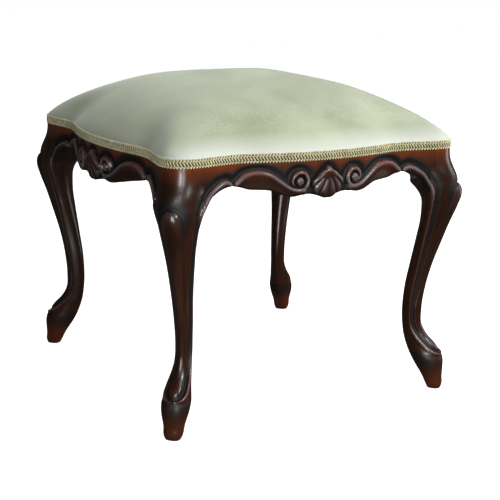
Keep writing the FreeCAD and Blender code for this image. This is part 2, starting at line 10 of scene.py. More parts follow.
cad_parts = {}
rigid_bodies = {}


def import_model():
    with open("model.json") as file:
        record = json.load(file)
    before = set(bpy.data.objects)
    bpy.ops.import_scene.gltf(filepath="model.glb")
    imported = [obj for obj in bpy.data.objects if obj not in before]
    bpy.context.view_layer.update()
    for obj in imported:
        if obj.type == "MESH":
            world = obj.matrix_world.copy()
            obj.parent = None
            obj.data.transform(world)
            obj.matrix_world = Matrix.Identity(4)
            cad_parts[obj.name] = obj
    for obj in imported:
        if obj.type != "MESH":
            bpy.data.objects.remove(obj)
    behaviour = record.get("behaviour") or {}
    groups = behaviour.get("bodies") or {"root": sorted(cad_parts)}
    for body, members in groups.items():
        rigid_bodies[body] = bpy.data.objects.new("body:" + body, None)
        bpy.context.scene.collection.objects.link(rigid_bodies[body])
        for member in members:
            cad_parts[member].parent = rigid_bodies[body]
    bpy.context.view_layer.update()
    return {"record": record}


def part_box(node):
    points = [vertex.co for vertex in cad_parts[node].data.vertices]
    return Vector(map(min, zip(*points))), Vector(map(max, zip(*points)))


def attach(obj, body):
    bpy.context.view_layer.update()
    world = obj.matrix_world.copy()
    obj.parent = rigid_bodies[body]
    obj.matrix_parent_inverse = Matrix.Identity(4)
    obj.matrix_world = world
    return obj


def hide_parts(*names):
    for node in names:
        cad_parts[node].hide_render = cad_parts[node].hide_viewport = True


bl_info = {
    "name": "Carved Pouf",
    "version": (1, 0, 0),
    "blender": (4, 5, 0),
    "location": "View3D > Sidebar > Pouf",
    "description": "Dresses a carved stool with cabriole legs and a crowned velvet seat",
    "category": "Add Mesh",
}

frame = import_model()

# Shapes are worked out in millimetres and made in metres
MM = 0.001
ROOT_HALF = 0.5 ** 0.5
# Farther than anything on the stool, and too little to divide by
FAR = 1000.0
NEARLY_NONE = 1e-6
# How near a joint's plane a point counts as on it
ON_JOINT = 0.01

# Plan of the seat line, as in the part's source: millimetres
CORNER_RADIUS = 30.0
BOW_RISE = 9.5
BOW_TANGENTS_RISE = 22.8
WAIST_SET_BACK = 13.0
WAIST_FROM_CORNER = 105.0
WAIST_RADIUS = 110.0
EAR_FROM_CORNER = 42.0
EAR_SET_BACK = 0.5
EAR_RADIUS = 120.0
REBATE = 3.8
APRON_WAIST_THICKNESS = 24.0
FOOT_INSET = 10.5

# Upholstery, inwards from the seat line or from the surface of the crown
COVER_FACE = 2.3
COVER_THICKNESS = 1.2
WADDING_DEPTH = 1.5
WADDING_THICKNESS = 5.0
FOAM_GAP = 0.3
STRAND_DEPTH = 0.1
HESSIAN_MARGIN = 12.0
# The half width for which the slope of the crown is worked out
CROWN_RUN = 240.0
# Edges sharper than this on padded pieces stay sharp, in degrees
PADDED_CREASE = 60

# Cloths and straps under the seat
CLOTH_THICKNESS = 0.8
DUST_COVER_GAP = 0.3
DUST_COVER_SAG = 1.6
STRAP_WIDTH = 50.0
STRAP_THICKNESS = 1.2
STRAP_CORDS = 25
CORD_SWELL = 0.1
STRAP_PLACES = (-160.0, -80.0, 0.0, 80.0, 160.0)
STRAP_LIFT = 0.75
STRAP_FOLD = 16.0
STRAP_END_MARGIN = 5.0

# The leg's sections from the floor up: height, nose, heel, half width, widest point, and how
# full the front and the back are. The nose points outwards along the diagonal.
LEG_STATIONS = (
    (0, 10.0, -10.5, 10.8, 0, 0.76, 0.76),
    (3, 11.4, -12.0, 12.3, 0, 0.76, 0.76),
    (19, 11.5, -20.3, 14.8, -4, 0.76, 0.74),
    (38, 11.8, -32.9, 19.3, -9, 0.76, 0.70),
    (50, 10.4, -40.2, 20.6, -14, 0.75, 0.66),
    (60, 5.2, -45.0, 19.0, -19, 0.73, 0.66),
    (72, -3.0, -49.5, 16.2, -26, 0.70, 0.68),
    (85, -16.2, -53.2, 13.4, -35, 0.68, 0.70),
    (97, -25.0, -55.2, 11.8, -40, 0.66, 0.70),
    (125, -28.6, -57.2, 11.6, -43, 0.64, 0.70),
    (160, -25.0, -55.2, 12.8, -40, 0.64, 0.70),
    (200, -16.0, -48.8, 15.0, -33, 0.64, 0.70),
    (240, -3.3, -41.6, 18.8, -26, 0.65, 0.70),
    (270, 6.7, -36.8, 22.6, -20, 0.66, 0.70),
    (295, 15.3, -36.0, 27.0, -18, 0.67, 0.70),
    (317, 20.5, -43.2, 32.0, -22, 0.68, 0.74),
    (331, 17.6, -54.0, 35.0, -26, 0.68, 0.78),
    (352, 12.2, -54.0, 34.5, -27, 0.70, 0.78),
    (376, 4.6, -52.0, 32.0, -27, 0.72, 0.78),
    (400, -3.5, -50.0, 29.0, -27, 0.72, 0.78),
)

# The tongue on the front of the leg: height and half width
TONGUE = (
    (54, 0.0), (55.5, 5.0), (59, 9.0), (64, 11.8), (71, 12.6), (80, 11.6), (94, 10.0), (111, 9.2),
    (130, 8.8), (150, 7.6), (170, 6.6), (190, 6.3), (235, 8.2), (272, 11.0), (298, 13.6), (311, 14.2),
    (319, 13.0), (324, 10.6), (327.5, 7.0), (329, 3.8), (329.6, 0.0),
)

# The bead along each side of the leg: height and angle from the nose in degrees
SIDE_BEAD = (
    (55.5, 0), (56.5, 16), (59, 32), (63, 46), (70, 58), (80, 69), (94, 80), (112, 88), (135, 90),
    (270, 90), (290, 87), (305, 83), (318, 78), (327, 75), (336, 72),
)

# How wide that bead is: heights, and half widths at them
BEAD_WIDTHS = ((55, 75, 120, 200, 280), (3.0, 3.2, 2.8, 3.2, 3.9))

# The heights at which the leg's knee passes into its square post, the height above which
# nothing crosses a joint, and how softly the post is blended in
POST_STARTS = 300
ARCH_TOP = 305
POST_GROWS = (306, 350)
POST_SETTLES = 338
POST_BLEND = 3.0

# Lines on an apron are drawn for this length from its middle to its joint. On a longer one,
# what lies past the volute is spread out to match.
DRAWN_JOINT = 190.0
DRAWN_VOLUTE_END = 54.0

# Lower edge of an apron: distance from its middle, and height
APRON_EDGE = (
    (0, 328.5), (5, 328.9), (11, 331.3), (22, 334.4), (31, 335.8), (41, 335.4), (54, 333.4),
    (64, 334.6), (74, 338.3), (86, 343.2), (95, 344.6), (105, 345.2), (118, 346.2), (130, 349.9),
    (144, 352.5), (158, 349.8), (170, 344.9), (180, 338.3), (190, 321.6),
)

# The notch between the scroll and the leaf, where the scroll dives under the volute, and the
# heights at which the cut ground runs out towards the braid
NOTCH_AT = 142
SCROLL_DIVES = (31, 39)
GROUND_ENDS = (377, 384)

# Crest of the S-scroll from the notch to where it dives under the volute
SCROLL_CREST = (
    (142, 357.0), (136, 361.6), (129, 367.2), (120, 371.0), (108, 372.8), (96, 371.6), (86, 368.0),
    (77, 362.0), (69, 356.2), (62, 351.2), (56, 348.0), (50, 346.0), (44, 345.4), (38, 346.2), (33, 348.8),
)

# Crest of the leaf that curls from the notch down to the leg
LEAF_CREST = (
    (142, 357.5), (149, 361), (155, 362), (163, 360), (171.5, 355.5), (181, 348.5), (189, 338),
    (196.5, 325), (201, 310),
)

# How far inside its outer edge the top of a crest lies, and how high the field inside it
# stays, as a share of the crest
CREST_INSET = 3.0
FIELD_LEVEL = 0.42

# The volute: crest angle in degrees and crest radius, winding in to the button, and how far
# out it reaches
VOLUTE_CREST = (
    (-38, 15.0), (-55, 14.0), (-90, 13.0), (-135, 12.4), (-180, 12.4), (-225, 12.6), (-250, 12.5),
    (-280, 11.9), (-315, 11.2), (-350, 10.7), (-385, 10.1), (-412, 9.4),
)
VOLUTE_REACH = 15.4

# Outline of the shell: angle from straight down in degrees, and reach from the boss
SHELL_SPREAD = 69.0
SHELL_REACH = (
    (0, 43.5), (9, 42.8), (20, 41.0), (28, 39.8), (38, 37.6), (45, 36.0), (52, 33.6), (60, 29.8),
    (66, 24.0), (72, 18.2), (78, 13.5), (86, 9.4), (100, 6.8), (180, 5.2),
)

# How often the relief is averaged with its neighbours to tell hollows from crests
FINE_BLUR = 4
BROAD_BLUR = 14

# One repeat of the braid as bent strands: their steps, and start, middle and end as shares of
# the pitch along the braid, of the strand's radius inwards and of the braid's height upwards
BRAID_STRANDS = (
    (4, (-0.42, 0.6, 0.22), (0.05, -1.6, -0.05), (0.48, 0.6, -0.34)),
    (3, (-0.42, 0.4, 0.16), (-0.1, -1.2, 0.25), (0.34, 0.4, 0.33)),
    (4, (-0.22, -0.1, 0.38), (0.0, -0.7, 0.60), (0.26, -0.1, 0.38)),
    (4, (-0.22, -0.1, -0.35), (0.0, -0.7, -0.68), (0.24, -0.1, -0.35)),
)


class PoufFrameSizes(PropertyGroup):
    """Sizes of the wooden frame"""
    half_width: FloatProperty(
        name="Half Width", description="Middle of the seat to the left and right corners",
        default=0.240, unit="LENGTH")
    half_depth: FloatProperty(
        name="Half Depth", description="Middle of the seat to the front and back corners",
        default=0.245, unit="LENGTH")
    frame_top: FloatProperty(
        name="Frame Top", description="Height of the top of the rails",
        default=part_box("leg_front_left")[1].z, unit="LENGTH")
    braid_foot: FloatProperty(
        name="Shoulder", description="Height of the shoulder that the braid stands on",
        default=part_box("gimp_braid")[0].z, unit="LENGTH")
    joint_from_foot: FloatProperty(
        name="Joint From Foot", description="Middle of a foot to its joints with the aprons",
        default=0.0395, unit="LENGTH")
    rows_per_leg: IntProperty(name="Leg Rows", description="Rows of faces up a leg", default=300)
    columns_per_leg: IntProperty(name="Leg Columns", description="Faces round a leg", default=144)
    apron_columns: IntProperty(name="Apron Columns", description="Faces along an apron", default=340)
    apron_rows: IntProperty(name="Apron Rows", description="Faces up an apron's face", default=72)


class PoufCarvingSizes(PropertyGroup):
    """Sizes of the carving"""
    crest_height: FloatProperty(
        name="Crest Height", description="How far the scrolls stand off the face",
        default=0.0046, unit="LENGTH")
    crest_width: FloatProperty(
        name="Crest Width", description="Half the width of a scroll's round crest",
        default=0.0042, unit="LENGTH")
    ground_depth: FloatProperty(
        name="Ground Depth", description="How deep the ground is cut round the carving",
        default=0.0022, unit="LENGTH")
    volute_at: FloatProperty(
        name="Volute Place", description="Middle of the apron to the middle of a volute",
        default=0.0455, unit="LENGTH")
    volute_height: FloatProperty(
        name="Volute Height", description="Floor to the middle of a volute",
        default=0.3555, unit="LENGTH")
    button_radius: FloatProperty(
        name="Button Radius", description="Radius of the button in a volute",
        default=0.0066, unit="LENGTH")
    shell_boss_height: FloatProperty(
        name="Shell Boss Height", description="Floor to the boss of the shell",
        default=0.3690, unit="LENGTH")
    shell_relief: FloatProperty(
        name="Shell Relief", description="How far the shell swells off the face",
        default=0.0068, unit="LENGTH")
    shell_ribs: IntProperty(name="Shell Ribs", description="Ribs of the shell", default=6)
    leg_groove: FloatProperty(
        name="Leg Groove", description="Depth of the grooves on a leg",
        default=0.0026, unit="LENGTH")
    leg_bead: FloatProperty(
        name="Leg Bead", description="Height of the bead along a leg",
        default=0.0014, unit="LENGTH")


class PoufSeatSizes(PropertyGroup):
    """Sizes of the upholstery"""
    crown_height: FloatProperty(
        name="Crown Height", description="Floor to the top of the seat",
        default=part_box("velvet_cover")[1].z, unit="LENGTH")
    crown_start: FloatProperty(
        name="Crown Start", description="Height at which the crown leaves the braid",
        default=0.3953, unit="LENGTH")
    crown_power: FloatProperty(
        name="Crown Power", description="How flat the crown is in the middle", default=2.71)
    crown_roundness: FloatProperty(
        name="Crown Roundness", description="How steeply the crown meets the braid", default=0.858)
    braid_height: FloatProperty(
        name="Braid Height", description="Height of the braid",
        default=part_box("gimp_braid")[1].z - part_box("gimp_braid")[0].z, unit="LENGTH")
    braid_pitch: FloatProperty(
        name="Braid Pitch", description="From one strand of the braid to the next",
        default=0.0046, unit="LENGTH")
    strand_radius: FloatProperty(
        name="Strand Radius", description="Radius of one strand of the braid",
        default=0.00092, unit="LENGTH")


class PoufColours(PropertyGroup):
    """Colours of the wood, the velvet and the braid"""
    # Dark glazing for the recesses and pores, also used as painted shade in the hollows
    wood_recess: FloatVectorProperty(
        name="Wood Recess", description="Glaze in the recesses", subtype="COLOR", size=3,
        default=(0.0034, 0.0030, 0.0036), min=0, max=1)
    wood_body: FloatVectorProperty(
        name="Wood Body", description="Polish on plain surfaces", subtype="COLOR", size=3,
        default=(0.030, 0.0088, 0.0026), min=0, max=1)
    wood_frieze: FloatVectorProperty(
        name="Wood Frieze", description="Warmer polish under the braid", subtype="COLOR", size=3,
        default=(0.135, 0.028, 0.0052), min=0, max=1)
    # Rubbing on the crests together with a painted highlight
    wood_crest: FloatVectorProperty(
        name="Wood Crest", description="Rubbed polish on the high places", subtype="COLOR", size=3,
        default=(0.126, 0.095, 0.098), min=0, max=1)
    wood_foot: FloatVectorProperty(
        name="Wood Foot", description="Rubbed wood at the feet", subtype="COLOR", size=3,
        default=(0.125, 0.029, 0.0045), min=0, max=1)
    # Also the colour of the painted shade on the cushion's left faces
    velvet_deep: FloatVectorProperty(
        name="Velvet Deep", description="Velvet with its pile away from the light", subtype="COLOR",
        size=3, default=(0.200, 0.230, 0.140), min=0, max=1)
    velvet_pale: FloatVectorProperty(
        name="Velvet Pale", description="Velvet with its pile towards the light", subtype="COLOR",
        size=3, default=(0.470, 0.510, 0.380), min=0, max=1)
    # A painted sheen where the velvet turns down to the braid
    velvet_silver: FloatVectorProperty(
        name="Velvet Silver", description="Velvet where its pile turns down to the braid",
        subtype="COLOR", size=3, default=(0.60, 0.62, 0.58), min=0, max=1)
    braid_gold: FloatVectorProperty(
        name="Braid Gold", description="Main yarn of the braid", subtype="COLOR", size=3,
        default=(0.070, 0.058, 0.018), min=0, max=1)
    braid_cream: FloatVectorProperty(
        name="Braid Cream", description="Pale yarn of the braid", subtype="COLOR", size=3,
        default=(0.620, 0.580, 0.340), min=0, max=1)


def size(name):
    """One of the lengths that the panel shows, in millimetres."""
    scene = bpy.context.scene
    group = next(g for g in (scene.pouf_frame, scene.pouf_carving, scene.pouf_seat) if hasattr(g, name))
    return getattr(group, name) / MM


def halves():
    """Half the seat's width and half its depth, in millimetres."""
    return np.array([size("half_width"), size("half_depth")])


# Numbers

def smooth_rows(table, heights):
    """Reads a table at any height, through a smooth curve in each of its columns."""
    table = np.array(table, float)
    heights = np.clip(heights, table[0, 0], table[-1, 0])
    knots, values = table[:, 0], table[:, 1:]
    slopes = np.gradient(values, knots, axis=0)
    steps = np.diff(values, axis=0) / np.diff(knots)[:, None]
    slopes[1:-1][steps[:-1] * steps[1:] <= 0] = 0
    slopes[0], slopes[-1] = steps[0], steps[-1]
    i = np.clip(np.searchsorted(knots, heights, side="right") - 1, 0, len(knots) - 2)
    width = (knots[i + 1] - knots[i])[:, None]
    s = (heights[:, None] - knots[i][:, None]) / width
    first = (1 + 2 * s) * (1 - s) ** 2 * values[i] + s * (1 - s) ** 2 * width * slopes[i]
    second = s ** 2 * (3 - 2 * s) * values[i + 1] + s ** 2 * (s - 1) * width * slopes[i + 1]
    return first + second


def smooth_value(table, where):
    """A table with one column of values, read everywhere on a grid."""
    return smooth_rows(table, where.ravel())[:, 0].reshape(where.shape)


def smooth_path(points, spacing=0.8):
    """A smooth curve through points, as closely spaced points."""
    points = np.array(points, float)
    padded = np.vstack([2 * points[0] - points[1], points, 2 * points[-1] - points[-2]])
    path = []
    for a, b, c, d in zip(padded, padded[1:], padded[2:], padded[3:]):
        count = max(2, ceil(np.linalg.norm(c - b) / spacing))
        s = (np.arange(count) / count)[:, None]
        path.append(b + 0.5 * s * ((c - a) + s * ((2 * a - 5 * b + 4 * c - d) + s * (3 * (b - c) + d - a))))
    path.append(points[-1:])
    return np.vstack(path)


def nearest(points, path, batch=40):
    """The distance from each point to a path, and the index of the nearest path point."""
    flat = points.reshape(-1, points.shape[-1])
    best = np.full(len(flat), np.inf)
    index = np.zeros(len(flat), int)
    for start in range(0, len(path), batch):
        gaps = ((flat[:, None, :] - path[start:start + batch][None]) ** 2).sum(2)
        which = gaps.argmin(1)
        gap = gaps[np.arange(len(flat)), which]
        closer = gap < best
        best[closer] = gap[closer]
        index[closer] = which[closer] + start
    return np.sqrt(best).reshape(points.shape[:-1]), index.reshape(points.shape[:-1])


def unit(vectors):
    return vectors / np.linalg.norm(vectors, axis=-1)[..., None]


def step_lengths(path):
    return np.linalg.norm(np.diff(path, axis=0), axis=1)


def ramp(value, low, high):
    """A smooth step from 0 at low to 1 at high."""
    s = np.clip((value - low) / (high - low), 0, 1)
    return s * s * (3 - 2 * s)


def hump(value, width):
    """1 at nought, falling smoothly to 0 on both sides."""
    return np.exp(-(value / width) ** 2)


def blurred(field, times, wrap):
    """A field on a grid, averaged with its neighbours a number of times."""
    for _ in range(times):
        side = np.pad(field, ((0, 0), (1, 1)), mode="wrap" if wrap else "edge")
        field = (side[:, :-2] + field + side[:, 2:]) / 3
        side = np.pad(field, ((1, 1), (0, 0)), mode="edge")
        field = (side[:-2] + field + side[2:]) / 3
    return field


def tone_of(relief, wrap, gain):
    """Painted shade with glazing in hollows and a painted highlight with rubbing on crests: 0.5 is a plain
    surface.
    """
    fine = relief - blurred(relief, FINE_BLUR, wrap)
    broad = relief - blurred(relief, BROAD_BLUR, wrap)
    return np.clip(0.5 + gain * (0.5 * fine + broad) * 0.5, 0, 1)


# The seat line

def seat_corners():
    """The corners of the seat line with their rounding radii, anticlockwise, in millimetres."""
    corners = []
    for turn in range(4):
        along, out = halves()[::-1] if turn % 2 else halves()
        waist_at = along - WAIST_FROM_CORNER
        slope = atan((BOW_TANGENTS_RISE + WAIST_SET_BACK) / waist_at)
        bow_radius = (BOW_TANGENTS_RISE - BOW_RISE) / (1 / cos(slope) - 1)
        ear_at = along - EAR_FROM_CORNER
        side = (
            (-along, out, CORNER_RADIUS),
            (-ear_at, out - EAR_SET_BACK, EAR_RADIUS),
            (-waist_at, out - WAIST_SET_BACK, WAIST_RADIUS),
            (0, out + BOW_TANGENTS_RISE, bow_radius),
            (waist_at, out - WAIST_SET_BACK, WAIST_RADIUS),
            (ear_at, out - EAR_SET_BACK, EAR_RADIUS),
        )
        c, s = cos(turn * pi / 2), sin(turn * pi / 2)
        corners += [(t * c + o * s, t * s - o * c, radius) for t, o, radius in side]
    return corners


def seat_line(grow=0.0, spacing=1.0):
    """The seat line grown outwards: evenly spaced points and their outward directions."""
    corners = seat_corners()
    sharp = np.array([corner[:2] for corner in corners])
    ways = unit(np.roll(sharp, -1, 0) - sharp)
    points = []
    for i, corner in enumerate(corners):
        before, after = ways[i - 1], ways[i]
        turn = acos(np.clip(before @ after, -1, 1))
        sign = 1 if before[0] * after[1] - before[1] * after[0] > 0 else -1
        inward = (after - before) / np.linalg.norm(after - before)
        radius = corner[2]
        centre = sharp[i] + inward * (radius / cos(turn / 2))
        x, y = np.array([before[1], -before[0]]) * sign
        steps = max(4, ceil(turn * radius))
        for step in range(steps + 1):
            angle = sign * turn * step / steps
            ray = (x * cos(angle) - y * sin(angle), x * sin(angle) + y * cos(angle))
            points.append(centre + np.array(ray) * (radius + sign * grow))
    closed = np.array(points + points[:1])
    lengths = np.concatenate([[0], np.cumsum(step_lengths(closed))])
    total = lengths[-1]
    where = np.arange(round(total / spacing)) * total / round(total / spacing)
    even = np.stack([np.interp(where, lengths, closed[:, k]) for k in range(2)], 1)
    along = unit(np.roll(even, -1, 0) - np.roll(even, 1, 0))
    return even, np.stack([along[:, 1], -along[:, 0]], 1)


def apron_plan(stations, half_along, sideways):
    """How far out an apron's face is at each station, and its outward direction there."""
    points, out = seat_line(spacing=0.5)
    if sideways:
        across, depth, lean, face = -points[:, 1], -points[:, 0], -out[:, 1], -out[:, 0]
    else:
        across, depth, lean, face = points[:, 0], -points[:, 1], out[:, 0], -out[:, 1]
    near = (depth > 0) & (abs(across) < half_along - CORNER_RADIUS)
    order = np.argsort(across[near])
    columns = [values[near][order] for values in (across, depth, lean, face)]
    return [np.interp(stations, columns[0], column) for column in columns[1:]]


# Meshes

def new_object(name, data):
    """An object with its data, in the scene."""
    thing = bpy.data.objects.new(name, data)
    bpy.context.scene.collection.objects.link(thing)
    return thing


def rings_along(line, out, section):
    """Rings that follow the seat line, through a section of distances outwards and heights."""
    return [at_height(line + out * off, z) for off, z in section]


def at_height(flat, z):
    """Points of a plan at one height."""
    return np.column_stack([flat, np.full(len(flat), z)])


def mesh_piece(name, mesh):
    """A mesh as an object on the stool's one body."""
    piece = new_object(name, mesh)
    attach(piece, "root")
    return piece


def mesh_object(name, points, faces):
    """A closed mesh, given in millimetres."""
    mesh = bpy.data.meshes.new(name)
    mesh.from_pydata((np.asarray(points) * MM).tolist(), [], faces)
    mesh.validate()
    mesh.update()
    return mesh_piece(name, mesh)


def finish_mesh(piece, material, crease=50):
    """Smooth shading with sharp corners, and the material."""
    mesh = piece.data
    mesh.polygons.foreach_set("use_smooth", np.ones(len(mesh.polygons), bool))
    mesh.set_sharp_from_angle(angle=radians(crease))
    mesh.materials.clear()
    mesh.materials.append(material)


def skin(rows, columns):
    """Quads over a grid of points, row after row; columns wrap round."""
    row, column = np.meshgrid(np.arange(rows - 1), np.arange(columns), indexing="ij")
    low, high = row * columns, (row + 1) * columns
    right = (column + 1) % columns
    return np.stack([low + column, low + right, high + right, high + column], -1).reshape(-1, 4).tolist()


def ring_solid(name, rings):
    """A closed solid through rings of equally many points, with flat ends."""
    rows, columns = rings.shape[:2]
    faces = skin(rows, columns)
    faces.append(list(range(columns))[::-1])
    faces.append([(rows - 1) * columns + i for i in range(columns)])
    return mesh_object(name, rings.reshape(-1, 3), faces)


def point_attribute(piece, name, values):
    layer = piece.data.attributes.new(name, "FLOAT", "POINT")
    layer.data.foreach_set("value", np.asarray(values, np.float32).ravel())


def turned_copy(points, quarter_turns):
    """Points turned about the vertical axis by a number of quarter turns."""
    angle = quarter_turns * pi / 2
    matrix = np.array([[cos(angle), -sin(angle), 0], [sin(angle), cos(angle), 0], [0, 0, 1]])
    return (points.reshape(-1, 3) @ matrix.T).reshape(points.shape)


# Carving on the aprons

def ridge(signed, width, height, field, ground, inset):
    """Across a carved ridge: it rises steeply from cut ground, then falls slowly to its field."""
    from_top = signed + inset
    outer = np.exp(-(np.maximum(from_top, 0) / (width * 0.62)) ** 2.4)
    inner = field + (1 - field) * hump(np.minimum(from_top, 0), width * 1.5)
    crest = height * np.where(from_top > 0, outer, inner)
    cut = -ground * (1 - ramp(signed, 2.0, 11.0))
    return crest, cut


def joined(crest, cut):
    """A crest standing out of the ground that is cut round it."""
    return cut * np.exp(-1.3 * crest) + crest


def drawn_place(t, joint):
    """Where a point of an apron lies on the lines drawn for the standard length."""
    across = abs(t)
    past = np.maximum(across - DRAWN_VOLUTE_END, 0)
    spread = (DRAWN_JOINT - DRAWN_VOLUTE_END) / (joint - DRAWN_VOLUTE_END)
    return np.minimum(across, DRAWN_VOLUTE_END) + past * spread


def signed_gap(here, crest):
    """The distance from a crest line: positive above it, negative below."""
    path = smooth_path(crest)
    gap = nearest(here, path)[0]
    order = np.argsort(path[:, 0])
    line = np.interp(here[..., 0], path[order, 0], path[order, 1])
    inside = here[..., 1] < line
    inside &= (here[..., 0] >= path[:, 0].min()) & (here[..., 0] <= path[:, 0].max())
    return np.where(inside, -gap, gap)


def volute_relief(here, width, height):
    centre = np.array([size("volute_at"), size("volute_height")])
    winding = [
        centre + radius * np.array([cos(radians(angle)), sin(radians(angle))])
        for angle, radius in VOLUTE_CREST
    ]
    path = smooth_path(winding)
    gap, index = nearest(here, path)
    along = index / len(path)
    fade = (1 - 0.6 * ramp(along, 0.72, 1.0)) * ramp(along, -0.02, 0.1)
    reach = width * (0.78 - 0.3 * ramp(along, 0.62, 0.98))
    curl = height * 1.1 * fade * np.exp(-abs(gap / reach) ** 2.8)
    from_centre = np.linalg.norm(here - centre, axis=-1)
    button = height * 1.35 * np.sqrt(np.clip(1 - (from_centre / size("button_radius")) ** 2, 0, 1))
    return np.maximum(curl, button), from_centre


def shell_relief(here):
    """A fan of ribs that swell down from the boss, with scalloped ends."""
    swell = size("shell_relief")
    across, down = here[..., 0], size("shell_boss_height") - here[..., 1]
    angle = np.degrees(np.arctan2(across, down))
    reach = np.hypot(across, down)
    rib = 2 * SHELL_SPREAD / bpy.context.scene.pouf_carving.shell_ribs
    wave = abs(np.sin(pi * angle / rib))
    wave = np.where(angle > SHELL_SPREAD + rib / 2, 1.0, wave)
    limit = smooth_value(SHELL_REACH, angle) - 3.0 * (1 - wave ** 0.5) * ramp(reach, 14, 26)
    body = np.clip(1 - (reach / limit) ** 3.2, 0, 1) ** 0.5
    rise = 0.78 + 0.22 * ramp(reach, 4, 20) - 0.25 * ramp(reach, 26, 46)
    flute = 3.4 * (1 - wave ** 0.55) * ramp(reach, 6, 20)
    shell = np.maximum(swell * body * rise - flute * body, 0.3 * body)
    boss = (swell + 0.2) * np.clip(1 - (reach / 6.2) ** 2.0, 0, 1) ** 0.7
    return np.maximum(shell, boss), reach - limit


def apron_relief(t, z, joint):
    """How far the carving stands off the apron's face, in millimetres, and its tone, which holds glazing and
    painted shade round the carving and a painted highlight on the crests.
    """
    height, width, depth = size("crest_height"), size("crest_width"), size("ground_depth")
    across = drawn_place(t, joint)
    here = np.stack([across, z], -1)
    above_edge = z - smooth_value(APRON_EDGE, across)

    scroll_gap = signed_gap(here, SCROLL_CREST)
    leaf_gap = signed_gap(here, LEAF_CREST)
    scroll, scroll_cut = ridge(scroll_gap, width, height, FIELD_LEVEL, depth, CREST_INSET)
    leaf, leaf_cut = ridge(leaf_gap, width, height, FIELD_LEVEL, depth, CREST_INSET)
    notch = 1 - 0.8 * hump(across - NOTCH_AT, 2.6)
    scroll = scroll * notch * ramp(across, *SCROLL_DIVES) * (across < NOTCH_AT + 2)
    leaf = leaf * notch * (across > NOTCH_AT - 2)
    curl, from_centre = volute_relief(here, width, height)
    shell, shell_edge = shell_relief(here)

    nearby = np.minimum(from_centre - VOLUTE_REACH, shell_edge)
    cut = np.minimum(np.minimum(scroll_cut, leaf_cut), -depth * (1 - ramp(nearby, 1.2, 10.0)))
    cut *= 1 - 0.75 * ramp(z, *GROUND_ENDS)
    under = (across < 60) & (above_edge < 9)
    cut = np.where(under, cut * 0.35, cut)
    crest = np.maximum.reduce([scroll, leaf, curl, shell])
    rounding = 3.0 * (1 - np.sqrt(np.clip(1 - np.clip(1 - above_edge / 4.0, 0, 1) ** 2, 0, 1)))
    relief = joined(crest, cut) - rounding
    away = np.minimum.reduce([
        np.where(scroll > 0.3, FAR, abs(scroll_gap)), np.where(leaf > 0.3, FAR, abs(leaf_gap)), nearby + 1,
    ])
    # Glazing together with painted shade on the cut ground round the carving, less of it near the braid
    painted_shade_and_glaze = (1 - ramp(away, 4.0, 18.0)) * (1 - 0.6 * ramp(z, 376, 387)) * np.exp(-1.6 * np.maximum(crest, 0))
    # A painted highlight along the top of each crest
    painted_crest_highlight = np.maximum(hump(scroll_gap + 2, 3.0) * (scroll > 1), hump(leaf_gap + 2, 3.0) * (leaf > 1))
    tone = tone_of(relief, False, 0.30) - 0.5 * painted_shade_and_glaze + 0.30 * painted_crest_highlight
    # The tone is also made darker towards the apron's lower edge
    return relief, np.clip(tone - 0.16 * (1 - ramp(above_edge, 0, 7)), 0, 1)


def make_apron(name, quarter_turns, material):
    """One apron: its carved face, its shoulder for the braid, and plain sides behind."""
    sizes = bpy.context.scene.pouf_frame
    sideways = quarter_turns % 2 == 1
    half_along, half_out = halves()[::-1] if sideways else halves()
    joint = half_along - FOOT_INSET - size("joint_from_foot")
    shoulder, top = size("braid_foot"), size("frame_top")
    back = half_out - WAIST_SET_BACK - APRON_WAIST_THICKNESS
    t = np.linspace(-joint, joint, sizes.apron_columns + 1)
    out, lean, face = apron_plan(t, half_along, sideways)
    edge = smooth_value(APRON_EDGE, drawn_place(t, joint))
    share = np.linspace(0, 1, sizes.apron_rows) ** 1.12
    z = edge + (shoulder - edge) * share[:, None]
    t_grid = np.broadcast_to(t, z.shape)
    relief, tone = apron_relief(t_grid, z, joint)
    relief *= 1 - 0.9 * ramp(z, shoulder - 2.5, shoulder)
    face_points = np.stack([t_grid + lean * relief, -(out + face * relief), z], -1)

    def level(distance, height):
        return np.stack([t, -np.broadcast_to(distance, t.shape), np.broadcast_to(height, t.shape)], -1)[None]

    behind = [
        level(out - REBATE, shoulder), level(out - REBATE, top), level(back, top),
        level(back, edge + (top - edge) * 0.5), level(back, edge + 1.5), level(back + 1.5, edge),
        level((out + back) / 2, edge),
    ]
    points = np.concatenate([face_points] + behind).transpose(1, 0, 2)
    tones = np.concatenate([tone, np.full((len(behind), len(t)), 0.42)])
    rings = turned_copy(points, quarter_turns)
    piece = ring_solid(name + "_carved", rings[::-1])
    point_attribute(piece, "tone", tones.T[::-1])
    finish_mesh(piece, material)
    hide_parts(name)


# Legs

def section_radius(angle, nose, heel, half, widest, front, back):
    """The radius of the leg's plain section about its widest point, at an angle from the nose."""
    ahead = np.cos(angle) > 0
    reach = np.where(ahead, nose - widest, widest - heel)
    power = np.where(ahead, log(0.5) / np.log(front), log(0.5) / np.log(back))
    total = abs(np.cos(angle) / reach) ** power + abs(np.sin(angle) / half) ** power
    return total ** (-1 / power)


def towards_joint(points, side=1):
    """How far points lie from the foot's middle towards the joint on one side of the leg."""
    return (-points[..., 0] + side * points[..., 1]) * ROOT_HALF


def joint_limit(angle, widest, joint):
    """The radius at which a ray from the widest point meets a joint's plane."""
    limit = np.full(angle.shape, FAR)
    for side in (1, -1):
        away = (-np.cos(angle) + side * np.sin(angle)) * ROOT_HALF
        meets = (joint + widest * ROOT_HALF) / np.maximum(away, NEARLY_NONE)
        limit = np.where(away > NEARLY_NONE, np.minimum(limit, meets), limit)
    return limit


